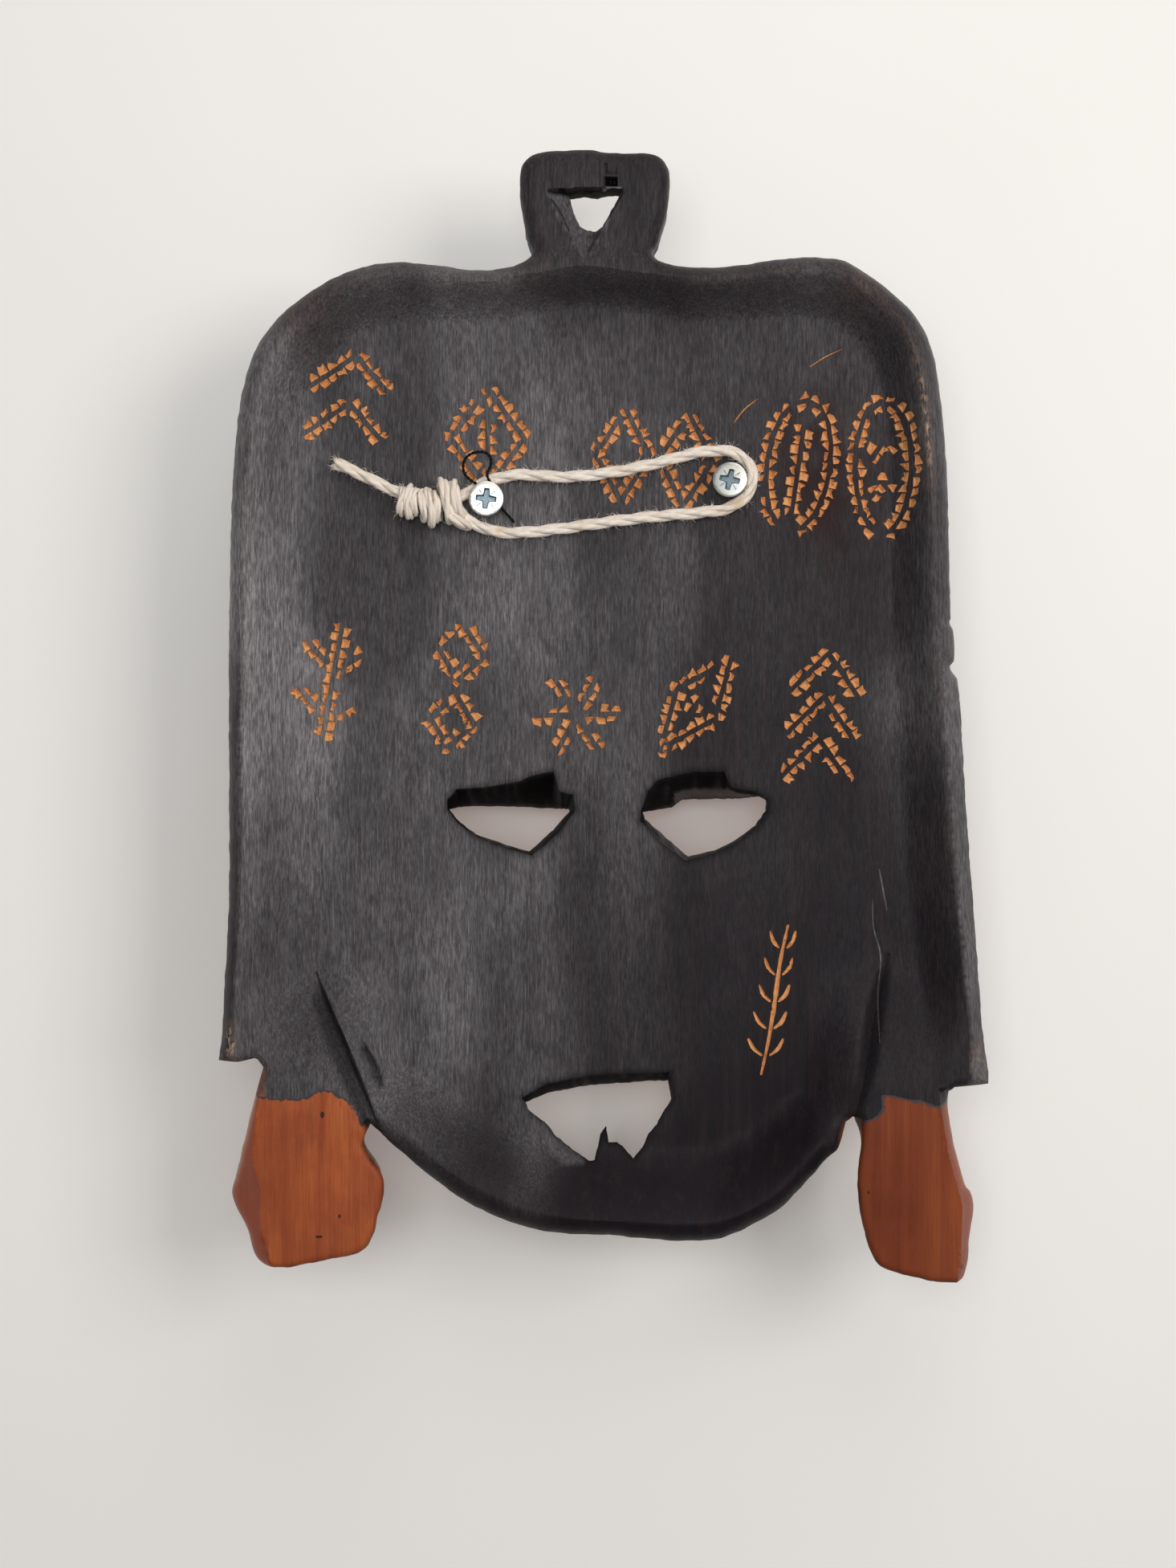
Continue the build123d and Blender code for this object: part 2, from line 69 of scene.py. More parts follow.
camera_data = bpy.data.cameras.new("camera")
camera_data.sensor_width = 36.0
camera_data.lens = 49.77
camera_data.clip_start = 0.01
camera_data.clip_end = 20.0
camera = link(bpy.data.objects.new("camera", camera_data))
camera.location = place(*VIEW_AXIS, VIEW_DEPTH - VIEW_DISTANCE)
camera.rotation_mode = "QUATERNION"
camera.rotation_quaternion = Vector((0, -1, 0)).to_track_quat("-Z", "Y")
bpy.context.scene.camera = camera
bpy.context.scene.view_settings.view_transform = "Standard"


def linear(red, green, blue):
    """An sRGB colour from 0 to 255 as a linear one."""
    values = [c / 255.0 for c in (red, green, blue)]
    return tuple(c / 12.92 if c <= 0.04045 else ((c + 0.055) / 1.055) ** 2.4 for c in values) + (1.0,)


def grey(level):
    return (level, level, level, 1.0)


# object coordinates come in metres, and every scale below is for millimetres
PER_METRE = 1000.0
# the sockets of a Mix node that hold colours
MIX_A, MIX_B, MIX_RESULT = 6, 7, 2


class Nodes:
    """Short calls that add nodes to a material. A colour of three numbers is sRGB from 0 to 255."""

    def __init__(self, name):
        self.material = bpy.data.materials.new(name)
        self.material.use_nodes = True
        self.tree = self.material.node_tree
        self.tree.nodes.clear()
        self.out = self.add("ShaderNodeOutputMaterial")
        self.shader = self.add("ShaderNodeBsdfPrincipled")
        self.wire(self.shader, "BSDF", self.out, "Surface")

    def add(self, kind, **values):
        node = self.tree.nodes.new(kind)
        for key, value in values.items():
            setattr(node, key, value)
        return node

    def wire(self, a, a_socket, b, b_socket):
        self.tree.links.new(a.outputs[a_socket], b.inputs[b_socket])

    def feed(self, node, **values):
        """Sets sockets to numbers or colours, or links them to (node, output)."""
        for key, value in values.items():
            socket = key.replace("_", " ")
            if isinstance(value, tuple) and len(value) == 2:
                self.wire(*value, node, socket)
            elif isinstance(value, tuple) and len(value) == 3:
                node.inputs[socket].default_value = linear(*value)
            else:
                node.inputs[socket].default_value = value

    def painted(self, **values):
        """The material, once its shader's own sockets are set."""
        self.feed(self.shader, **values)
        return self.material

    def attribute(self, name):
        return (self.add("ShaderNodeAttribute", attribute_name=name), "Fac")

    def math(self, operation, *values):
        node = self.add("ShaderNodeMath", operation=operation)
        for socket, value in zip(node.inputs, values):
            if isinstance(value, tuple):
                self.tree.links.new(value[0].outputs[value[1]], socket)
            else:
                socket.default_value = value
        return (node, "Value")

    def mapped(self, scale, shift=(0.0, 0.0, 0.0)):
        """Object coordinates in millimetres, scaled for each axis and shifted."""
        coords = self.add("ShaderNodeTexCoord")
        mapping = self.add("ShaderNodeMapping")
        self.wire(coords, "Object", mapping, "Vector")
        mapping.inputs["Scale"].default_value = [PER_METRE * s for s in scale]
        mapping.inputs["Location"].default_value = shift
        return (mapping, "Vector")

    def noise(self, scale, detail=4.0, roughness=0.55, distortion=0.0):
        """Noise with its own scale along each axis."""
        node = self.add("ShaderNodeTexNoise")
        self.feed(node, Vector=self.mapped(scale), Scale=1.0, Detail=detail, Roughness=roughness)
        self.feed(node, Distortion=distortion)
        return (node, "Fac")

    def ramp(self, value, stops):
        """A value turned into the greys or colours between the stops."""
        node = self.add("ShaderNodeValToRGB")
        self.feed(node, Fac=value)
        elements = node.color_ramp.elements
        while len(elements) < len(stops):
            elements.new(0.5)
        for element, (position, colour) in zip(elements, stops):
            element.position = position
            element.color = linear(*colour) if isinstance(colour, tuple) else grey(colour)
        return (node, "Color")

    def mix(self, share, a, b):
        """a where the share is 0, b where it is 1."""
        node = self.add("ShaderNodeMix", data_type="RGBA")
        self.feed(node, Factor=share)
        for socket, value in ((MIX_A, a), (MIX_B, b)):
            if len(value) == 2:
                self.wire(*value, node, socket)
            else:
                node.inputs[socket].default_value = linear(*value) if len(value) == 3 else value
        return (node, MIX_RESULT)

    def spot(self, across, up, half_width, half_height):
        """1 at a place on the back, fading to 0 past an ellipse round it."""
        scale = (1.0 / half_width, 0.0, 1.0 / half_height)
        length = self.add("ShaderNodeVectorMath", operation="LENGTH")
        self.wire(*self.mapped(scale, (across / half_width, 0.0, -up / half_height)), length, 0)
        return self.ramp((length, "Value"), ((0.7, 1.0), (1.0, 0.0)))

    def bump(self, height, strength, distance, **normal):
        node = self.add("ShaderNodeBump")
        self.feed(node, Height=height, Strength=strength, Distance=distance, **normal)
        return (node, "Normal")


# the sheet that the mask lies on, face down: it shows from the mask's side only
STAGE_DEPTH = 44.4


def stage_material():
    """Pale paint, clear when it is seen from the other side, with a faint glow of painted light that lifts
    the shadows on it.
    """
    m = Nodes("stage_paint")
    grain = m.noise((0.004, 0.004, 0.004), 3.0)
    clear = m.add("ShaderNodeBsdfTransparent")
    geometry = m.add("ShaderNodeNewGeometry")
    mixed = m.add("ShaderNodeMixShader")
    m.wire(geometry, "Backfacing", mixed, "Fac")
    m.wire(m.shader, 0, mixed, 1)
    m.wire(clear, 0, mixed, 2)
    m.wire(mixed, "Shader", m.out, "Surface")
    return m.painted(
        Base_Color=m.ramp(grain, ((0.3, (233, 230, 226)), (0.7, (238, 236, 232)))),
        Roughness=0.75,
        Specular_IOR_Level=0.2,
        # a faint glow, no lamp: painted light that lifts the sheet's shadows and what shows through the
        # holes
        Emission_Color=(233, 232, 228),
        Emission_Strength=0.145,
    )


stage_mesh = bpy.data.meshes.new("stage_sheet")
STAGE_CORNERS = ((-1500, -1600), (1500, -1600), (1500, 1400), (-1500, 1400))
corners = [place(*corner, STAGE_DEPTH) for corner in STAGE_CORNERS]
stage_mesh.from_pydata(corners, [], [(0, 1, 2, 3)])
stage_mesh.materials.append(stage_material())
stage = link(bpy.data.objects.new("stage_sheet", stage_mesh))
stage.visible_shadow = False

world = bpy.data.worlds.new("studio")
bpy.context.scene.world = world
world.use_nodes = True
sky = world.node_tree.nodes["Background"]
sky.inputs["Color"].default_value = (1.0, 0.985, 0.965, 1.0)
sky.inputs["Strength"].default_value = 0.225


def area_light(name, across, up, depth, size, power, colour):
    """A square soft light at a back-view place, aimed at the middle of the mask."""
    data = bpy.data.lights.new(name, "AREA")
    data.size = size
    data.energy = power
    data.color = colour
    lamp = link(bpy.data.objects.new(name, data))
    lamp.location = place(across, up, depth)
    aim = place(0, -110, 5) - lamp.location
    lamp.rotation_mode = "QUATERNION"
    lamp.rotation_quaternion = aim.to_track_quat("-Z", "Y")


area_light("key", 520, 40, -700, 0.4, 3.25, (1.0, 0.99, 0.975))
area_light("top", 60, 330, -360, 0.4, 0.72, (1.0, 0.99, 0.98))
area_light("near", -60, -70, -700, 0.25, 1.35, (0.99, 1.0, 1.0))
area_light("front_key", 500, 350, 900, 0.7, 5.0, (1.0, 0.985, 0.96))
area_light("front_fill", -600, -100, 800, 0.8, 2.2, (0.97, 0.98, 1.0))


# ---- small geometry helpers -------------------------------------------------------------------
LATTICE = np.random.RandomState(5).rand(128, 128)
# cells added to every place, so that none is negative
LATTICE_SHIFT = 500.0


def wander(across, up, cell_across, cell_up, shift=0.0):
    """Smooth noise from -1 to 1 with its own cell size each way."""
    x = np.asarray(across, float) / cell_across + 37.3 * shift + LATTICE_SHIFT
    y = np.asarray(up, float) / cell_up + 11.7 * shift + LATTICE_SHIFT
    i, j = np.floor(x).astype(int), np.floor(y).astype(int)
    s, t = x - i, y - j
    s, t = s * s * (3 - 2 * s), t * t * (3 - 2 * t)
    size = len(LATTICE)
    i, j, right, above = i % size, j % size, (i + 1) % size, (j + 1) % size
    low = LATTICE[i, j] * (1 - s) + LATTICE[right, j] * s
    high = LATTICE[i, above] * (1 - s) + LATTICE[right, above] * s
    return 2 * (low * (1 - t) + high * t) - 1


def ease(value, low, high):
    """A smooth rise from 0 at low to 1 at high."""
    t = np.clip((np.asarray(value, float) - low) / (high - low), 0.0, 1.0)
    return t * t * (3 - 2 * t)


def resample(line, step, closed=False):
    """The line as points about a step apart, both ends kept."""
    line = np.asarray(line, float)
    if closed:
        line = np.vstack((line, line[:1]))
    runs = np.linalg.norm(np.diff(line, axis=0), axis=1)
    total = np.concatenate(([0.0], np.cumsum(runs)))
    count = max(2, int(round(total[-1] / step)) + 1)
    want = np.linspace(0.0, total[-1], count)
    out = np.column_stack([np.interp(want, total, line[:, k]) for k in range(line.shape[1])])
    return out[:-1] if closed else out


def smooth_run(points, step=STEP):
    """Points a step apart along a smooth line through the given ones."""
    p = np.array(points, float)
    if len(p) == 2:
        return resample(p, step)
    ext = np.vstack((2 * p[0] - p[1], p, 2 * p[-1] - p[-2]))
    out = []
    for a, b, c, d in zip(ext, ext[1:], ext[2:], ext[3:]):
        ab, bc, cd = (max(np.linalg.norm(q), 1e-6) for q in (b - a, c - b, d - c))
        start = (c - a) / (ab + bc) * bc
        end = (d - b) / (bc + cd) * bc
        t = np.linspace(0.0, 1.0, max(3, int(bc / step * 4)), endpoint=False)[:, None]
        out.append(
            (2 * t**3 - 3 * t**2 + 1) * b
            + (t**3 - 2 * t**2 + t) * start
            + (3 * t**2 - 2 * t**3) * c
            + (t**3 - t**2) * end
        )
    return resample(np.vstack(out + [p[-1:]]), step)


def inside(points, ring):
    """Which points lie inside a closed ring."""
    x, y = points[:, 0], points[:, 1]
    odd = np.zeros(len(points), bool)
    for (ax, ay), (bx, by) in zip(ring, np.roll(ring, -1, 0)):
        if ay == by:
            continue
        hit = np.nonzero((ay > y) != (by > y))[0]
        if len(hit):
            odd[hit] ^= x[hit] < (bx - ax) * (y[hit] - ay) / (by - ay) + ax
    return odd


def nearest(points, line, closed=False):
    """Distance to a line, the place along it (point index with a fraction) and the side (+1 left)."""
    best = np.full(len(points), 1e9)
    along = np.zeros(len(points))
    side = np.ones(len(points))
    ends = np.roll(line, -1, 0) if closed else line[1:]
    for k, (a, b) in enumerate(zip(line, ends)):
        d = b - a
        size = max(d @ d, 1e-12)
        rel = points - a
        t = np.clip(rel @ d / size, 0.0, 1.0)
        gap = np.hypot(rel[:, 0] - t * d[0], rel[:, 1] - t * d[1])
        hit = gap < best
        best[hit] = gap[hit]
        along[hit] = k + t[hit]
        side[hit] = np.sign(d[0] * rel[hit, 1] - d[1] * rel[hit, 0] + 1e-12)
    return best, along, side


def gap_to(points, line, closed=False):
    """Distance to a line."""
    return nearest(points, line, closed)[0]


def bell(gap, reach):
    """1 where the gap is 0, fading with it."""
    return np.exp(-((gap / reach) ** 2))


def hill(across, up, x, y, wide, high):
    """1 at a place, fading all round it."""
    return np.exp(-(((across - x) / wide) ** 2) - ((up - y) / high) ** 2)


def side_normals(line):
    """The tangent of an open line at each point, and the direction to its left."""
    tangent = np.gradient(line, axis=0)
    tangent /= np.linalg.norm(tangent, axis=1)[:, None]
    return tangent, np.column_stack((-tangent[:, 1], tangent[:, 0]))


def ring_normals(ring):
    """The direction to the left of a closed line at each point."""
    tangent = np.roll(ring, -1, 0) - np.roll(ring, 1, 0)
    tangent /= np.maximum(np.linalg.norm(tangent, axis=1), 1e-9)[:, None]
    return np.column_stack((-tangent[:, 1], tangent[:, 0]))


def along_value(values, index):
    """Values kept for each point of a closed line, read between points."""
    n = len(values)
    i = np.floor(index).astype(int)
    t = index - i
    return values[i % n] * (1 - t) + values[(i + 1) % n] * t


def blurred(values, reach):
    """A closed list of values averaged over a reach of neighbours each way."""
    kernel = np.ones(2 * reach + 1) / (2 * reach + 1)
    padded = np.concatenate((values[-2 * reach :], values, values[: 2 * reach]))
    padded = np.convolve(padded, kernel, "same")
    padded = np.convolve(padded, kernel, "same")
    return padded[2 * reach : -2 * reach]


# ---- the outline, in runs from the handle's left foot round to the left side --------------------
HANDLE_RUN = [
    (-17.5, -15.3), (-14.9, -14.2), (-13.6, -12.6), (-14.6, -9.3), (-15.7, -3.6), (-16.2, 1.5),
    (-16.0, 4.6), (-14.6, 7.0), (-12.0, 8.2), (-6.3, 8.7), (-1.8, 8.8), (1.0, 8.3), (6.0, 8.0),
    (10.9, 7.9), (13.2, 6.9), (14.5, 4.7), (14.8, 2.1), (14.2, -4.3), (12.6, -9.7), (11.3, -12.6),
    (12.3, -14.2), (15.5, -15.0),
]
TOP_RIGHT_RUN = [
    (15.5, -15.0), (20, -15.3), (29.2, -14.7), (40, -13.2), (47, -13.2), (51.5, -14.0), (55.8, -16.5),
    (60, -19.8), (63.5, -22.8), (67.5, -27.8), (70, -35.3), (71.5, -46.2), (72.5, -60), (72.9, -75),
    (73.2, -88),
]
RIGHT_NOTCHES = [(73.2, -88), (72.9, -88.8), (73.7, -90.4), (73.9, -96.6), (73.0, -98.0), (74.4, -100.4)]
RIGHT_RUN = [(74.4, -100.4), (75.2, -112), (76, -126.2), (77.8, -151.2), (79.5, -172.8), (80.5, -181.5)]
RIGHT_FOOT = [(80.5, -181.5), (80.3, -183.9), (72.9, -184.6), (72.7, -187.4)]
RIGHT_PENDANT_RUN = [
    (72.7, -187.4), (72.7, -190.8), (74.8, -200.6), (76.5, -206), (77.6, -207.2), (78.6, -210.4),
    (78.3, -213.2), (77.3, -217.4), (77.2, -221.2), (75.8, -224.2), (72.5, -224.7), (66, -223.8),
    (58, -221.2), (55.2, -216), (53.6, -209), (53.3, -202.9), (54.3, -193.0), (54.2, -191.2),
]
RIGHT_STAIN = [
    (72.7, -187.4), (70.2, -188.1), (66.0, -187.0), (62.0, -186.6), (58.2, -186.1), (57.9, -189.2),
    (56.4, -190.8), (54.2, -191.2),
]
CHIN_RUN = [
    (51.2, -192), (50, -197.2), (47.5, -199.8), (42.5, -205.3), (37.5, -210.3), (32.5, -213.2),
    (25.8, -216.2), (19.2, -216.9), (10, -216.4), (0.8, -215.6), (-6, -215.4), (-12.5, -214.5),
    (-20.8, -212), (-30.8, -206.5), (-37.5, -201.2), (-44.2, -195.3), (-47.2, -192.2),
]
LEFT_PENDANT_RUN = [
    (-48.3, -191.8), (-47.8, -193.7), (-48.3, -196.3), (-45.1, -201.3), (-43.9, -205.3), (-45.1, -210.6),
    (-46.9, -216.4), (-49.6, -218.7), (-57.0, -220.2), (-65.4, -221.6), (-70.8, -220.5), (-72.8, -214.7),
    (-76.6, -208.8), (-76.4, -206.5), (-73.7, -198), (-71.6, -190), (-70.4, -185.9),
]
LEFT_STAIN = [
    (-48.3, -191.8), (-50.2, -189.0), (-52.4, -186.2), (-56.4, -184.8), (-59.0, -185.8), (-61.8, -186.5),
    (-65.7, -186.7), (-68.4, -186.6), (-70.4, -185.9),
]
LEFT_FOOT = [
    (-70.4, -185.9), (-69.2, -181.6), (-68.9, -180.5), (-70.4, -178.6), (-73.9, -179.4), (-78.3, -179.2),
]
LEFT_RUN = [
    (-78.3, -179.2), (-77.2, -159.5), (-76.5, -142.8), (-76.5, -126.2), (-76.5, -92.8), (-76, -66.2),
    (-75.3, -52.8), (-73.8, -41.2), (-70.8, -32), (-65.8, -25.3), (-58.3, -19.5), (-50.8, -15.8),
    (-42.5, -14.2), (-34.2, -14.8), (-24.2, -15.9), (-17.5, -15.3),
]


# ends of runs nearer to each other than this, in millimetres, are one point
SAME_PLACE = 0.05


def joined(runs):
    """Runs end to end as one closed ring, each shared end kept once, and the run that each point is from."""
    points, owner = [], []
    for number, run in enumerate(runs):
        if points and np.linalg.norm(np.array(points[-1]) - run[0]) < SAME_PLACE:
            run = run[1:]
        points.extend(map(tuple, run))
        owner.extend([number] * len(run))
    if np.linalg.norm(np.array(points[-1]) - points[0]) < SAME_PLACE:
        points, owner = points[:-1], owner[:-1]
    return np.array(points), np.array(owner)


# millimetres that a hand-cut edge strays, and the length over which it does
EDGE_STRAY = 0.13
STRAY_CELL = 2.1


def wobbled(run, reach=EDGE_STRAY):
    """A hand-cut run: its inner points stray a little from the smooth line."""
    run = run.copy()
    stray = reach * wander(run[:, 0] + run[:, 1], run[:, 0] - run[:, 1], STRAY_CELL, STRAY_CELL, 3)
    fade = np.minimum(1.0, np.minimum(np.arange(len(run)), np.arange(len(run))[::-1]) / 3.0)
    run[:, 0] += stray * fade
    run[:, 1] += np.roll(stray, 2) * fade
    return run


RUNS = {
    "handle": wobbled(smooth_run(HANDLE_RUN, 0.8)),
    "top_right": wobbled(smooth_run(TOP_RIGHT_RUN)),
    "notches": smooth_run(RIGHT_NOTCHES, 0.6),
    "right": wobbled(smooth_run(RIGHT_RUN)),
    "right_foot": resample(RIGHT_FOOT, 0.8),
    "right_pendant": wobbled(smooth_run(RIGHT_PENDANT_RUN, 0.8)),
    "right_stain": wobbled(smooth_run(RIGHT_STAIN, 0.5), 0.3),
    "right_gap": resample([(54.2, -191.2), (52.6, -190.7), (51.2, -192)], 0.6),
    "chin": wobbled(smooth_run(CHIN_RUN)),
    "left_gap": resample([(-47.2, -192.2), (-47.8, -191.2), (-48.3, -191.8)], 0.5),
    "left_pendant": wobbled(smooth_run(LEFT_PENDANT_RUN, 0.8)),
    "left_stain": wobbled(smooth_run(LEFT_STAIN, 0.5), 0.4),
    "left_foot": resample(LEFT_FOOT, 0.7),
    "left": wobbled(smooth_run(LEFT_RUN)),
}
WHOLE_RUNS = ("handle", "top_right", "notches", "right", "right_foot", "right_pendant", "right_gap", "chin",
              "left_gap", "left_pendant", "left_foot", "left")
WHOLE_RING, WHOLE_OWNER = joined([RUNS[name] for name in WHOLE_RUNS])
# the stained block ends at the stain lines, where the bare pendants begin
BODY_RING, _ = joined([RUNS[name.replace("pendant", "stain")] for name in WHOLE_RUNS])
RIGHT_RING, _ = joined([RUNS["right_pendant"], RUNS["right_stain"][::-1]])
LEFT_RING, _ = joined([RUNS["left_pendant"], RUNS["left_stain"][::-1]])
# how the back rolls over at each run: radius across, drop in depth, share of a flat bevel in it
ROLL = {
    "handle": (3.0, 3.0, 0.3), "top_right": (4.5, 6.0, 0.2), "notches": (3.5, 6.0, 0.5),
    "right": (3.7, 4.0, 0.9), "right_foot": (1.2, 1.5, 0.5), "right_pendant": (1.0, 1.2, 0.3),
    "right_gap": (1.0, 1.5, 0.3), "chin": (4.0, 5.5, 0.2), "left_gap": (1.0, 1.5, 0.3),
    "left_pendant": (1.0, 1.2, 0.3), "left_foot": (1.2, 1.5, 0.5), "left": (3.6, 5.5, 0.3),
}
ROLL_RADIUS, ROLL_DROP, ROLL_FLAT = (
    blurred(np.array([ROLL[WHOLE_RUNS[k]][column] for k in WHOLE_OWNER]), 3) for column in range(3)
)

# the crest round the hollow: across, up, and how wide the slope inside is there
CREST = [
    (-40.0, -17.5, 9.0), (-24.0, -18.5, 8.0), (-13.0, -17.5, 7.0), (-3.0, -16.0, 7.0), (9.0, -17.5, 7.0),
    (20.0, -18.3, 8.0), (40.0, -17.0, 8.5), (52.0, -18.5, 9.0), (61.0, -26.0, 9.0), (65.5, -36.0, 8.0),
    (67.5, -50.0, 7.5), (68.6, -70.0, 8.0), (69.2, -90.0, 9.0), (70.5, -110.0, 9.0), (72.3, -135.0, 9.0),
    (74.5, -160.0, 9.0), (76.0, -178.0, 9.0), (73.0, -192.0, 10.0), (56.0, -196.0, 11.0),
    (47.0, -196.5, 12.0), (38.0, -205.5, 14.0), (26.0, -211.5, 15.0), (8.0, -212.0, 15.0),
    (-12.0, -210.0, 15.0), (-30.0, -202.0, 14.0), (-42.0, -192.0, 12.0), (-52.0, -192.0, 11.0),
    (-73.0, -186.0, 11.0), (-74.5, -170.0, 11.0), (-73.0, -140.0, 11.5), (-72.5, -100.0, 11.5),
    (-72.0, -66.0, 11.0), (-70.0, -44.0, 10.5), (-64.0, -30.5, 10.0), (-54.0, -21.0, 9.5),
]
CREST_LINE = smooth_run(CREST + CREST[:1], 2.0)[:-1]
CREST_RING, CREST_WIDTH = CREST_LINE[:, :2], CREST_LINE[:, 2]

# depth of the hollow, and how much deeper its floor is in the middle
HOLLOW = 7.3
HOLLOW_SAG = 0.5
LEFT_GOUGE = smooth_run(
    [(-58.6, -161.8), (-56.2, -168.3), (-52.4, -176.5), (-48.6, -185.3), (-45.4, -191.6)], 1.0
)
LEFT_NICK = smooth_run([(-48.8, -175.3), (-46.5, -180.0), (-44.5, -184.5)], 1.0)
RIGHT_GOUGE = smooth_run([(64.2, -151.2), (63.5, -158.0), (61.7, -164.5)], 1.0)
RIGHT_GROOVE = smooth_run([(60.5, -158.0), (57.0, -172.0), (54.5, -184.0), (52.6, -191.0)], 1.0)
# how each is cut: line, width to its left and to its right, depth
GROOVES = (
    (LEFT_GOUGE, 3.9, 1.1, 2.6), (LEFT_NICK, 1.2, 0.5, 1.0), (RIGHT_GOUGE, 1.4, 1.0, 0.3),
    (RIGHT_GROOVE, 2.6, 2.0, 1.7),
)
LEFT_BEVEL = np.array([
    (-68.8, -181.2), (-70.2, -190.0), (-70.8, -199.0), (-69.2, -205.3), (-69.2, -213.3), (-66.5, -222.6),
])
RIGHT_BEVEL = np.array([
    (69.8, -186.0), (71.5, -196.8), (73.5, -204.3), (74.7, -209.0), (74.4, -216.0), (73.6, -226.0),
])
# the three corners of the recess behind the handle's hole, its depth, and each wall's corners and slope
RECESS = np.array([(-11.0, 0.1), (5.4, -0.1), (-3.0, -15.6)])
RECESS_DEPTH = 8.5
RECESS_WALLS = ((0, 1, 6.0), (1, 2, 2.4), (2, 0, 0.7))
# the handle's back lies this much deeper than the rim, and its front at this depth
HANDLE_BACK = 1.0
HANDLE_FRONT = 15.0


def handle_share(across, up):
    """1 over the handle, fading to 0 at its feet."""
    return ease(up, -15.5, -11.0) * ease(-np.abs(across), -22.0, -17.0)


def groove(points, line, left, right, depth):
    """A vee cut along a line that runs down, with its own width each side, shallower at both ends."""
    gap, along, side = nearest(points, line)
    fade = np.sin(np.pi * np.clip(along / (len(line) - 1), 0.03, 0.97)) ** 0.6
    return depth * fade * np.clip(1.0 - gap / (np.where(side > 0, right, left) * fade), 0.0, 1.0)


def back_depth(points):
    """Depth of the back surface under each point."""
    across, up = points[:, 0], points[:, 1]
    edge, index, _ = nearest(points, WHOLE_RING, True)
    radius, drop = along_value(ROLL_RADIUS, index), along_value(ROLL_DROP, index)
    t = np.clip(1.0 - edge / radius, 0.0, 1.0)
    flat_share = along_value(ROLL_FLAT, index)
    roll = drop * (flat_share * t + (1.0 - flat_share) * (1.0 - np.sqrt(1.0 - t * t)))

    crest, crest_index, _ = nearest(points, CREST_RING, True)
    within = inside(points, CREST_RING)
    width = along_value(CREST_WIDTH, crest_index)
    t = np.where(within, np.clip(crest / width, 0.0, 1.0), 0.0)
    cove = 0.75 * ease(t, 0.0, 1.0) + 0.25 * (1.0 - (1.0 - t) ** 2)
    foot = ease(-up, 158.0, 186.0) * ease(np.abs(across - 1.0), 41.0, 54.0)
    floor = HOLLOW + HOLLOW_SAG * np.clip(1.0 - (across / 75.0) ** 2, 0.0, 1.0)
    floor = floor * (1.0 - 0.97 * foot)
    depth = floor * cove
    depth += t * (0.22 * wander(across, up, 9.0, 40.0, 1) + 0.16 * wander(across, up, 4.2, 26.0, 2))
    depth += 0.10 * wander(across, up, 5.0, 14.0, 4)
    # a low ridge between the eyes, and a hollow below the handle's left foot
    depth -= 1.1 * hill(across, up, 2.0, -128.0, 4.0, 13.0)
    depth += 0.9 * hill(across, up, -9.0, -23.0, 7.0, 6.0)

    depth += HANDLE_BACK * handle_share(across, up)
    cut = np.full(len(points), RECESS_DEPTH)
    for a, b, slope in RECESS_WALLS:
        cut = np.minimum(cut, gap_to(points, RECESS[[a, b]]) * slope)
    depth += np.where(inside(points, RECESS) & (up > -15.0), cut, 0.0)

    for line, left, right, deepest in GROOVES:
        depth += groove(points, line, left, right, deepest)
    # the outer part of each pendant slopes away past its bevel
    for line, outer, slope, top in ((LEFT_BEVEL, -1.0, 1.25, -181.0), (RIGHT_BEVEL, 1.0, 2.2, -185.0)):
        gap, _, side = nearest(points, line)
        beyond = (np.sign(across) == outer) & (side * outer > 0) & (up < top)
        depth += np.where(beyond, gap * slope, 0.0) * ease(-up, 181.0, 189.0)
    return depth + roll


# depth of the flat board that the front is carved from
BOARD = 19.0
# the face's middle and its half width and half height
FACE = (2.0, -146.0, 51.0, 69.0)
EYES_ACROSS = (-18.6, 23.3)
EAR_REACH = 59.0
LOCK_WIDTH = 8.6
LOCK_LENGTH = 7.0
BAND_TOOTH = 8.0
# the middle of the disc on each pendant, and its radius
DISCS = ((-58.5, -203.5), (65.0, -206.0))
DISC_RADIUS = 9.0


def bump_at(across, up, centre, half, power=1.0):
    """A rounded boss: 1 at its centre and 0 outside its ellipse."""
    r = ((across - centre[0]) / half[0]) ** 2 + ((up - centre[1]) / half[1]) ** 2
    return np.clip(1.0 - r, 0.0, 1.0) ** power


def headdress(across, up):
    """Rounded locks of hair in rows from the top down, then a headband with a row of cut triangles."""
    lock = np.abs(np.sin(np.pi * (across - FACE[0]) / LOCK_WIDTH + 0.02 * (up + 60) * np.sign(across)))
    row = np.abs(((up + 300.0) / LOCK_LENGTH) % 1.0 - 0.5)
    hair = ease(up, -62.5, -61.0) * (1.7 * lock**0.6 - 0.55 + 0.35 * ease(row, 0.02, 0.16))
    band = ease(up, -74.5, -73.3) * ease(-up, 61.6, 62.8) * ease(-np.abs(across - 1.0), -69.0, -67.8)
    tooth = np.abs(((across - 1.0) / BAND_TOOTH) % 1.0 - 0.5) * 2.0
    in_band = (up + 73.0) / 10.0
    zigzag = ease(tooth * 0.9 + 0.05 - in_band, -0.06, 0.02) * ease(in_band, 0.1, 0.16)
    return hair + band * (3.0 - 1.1 * zigzag)


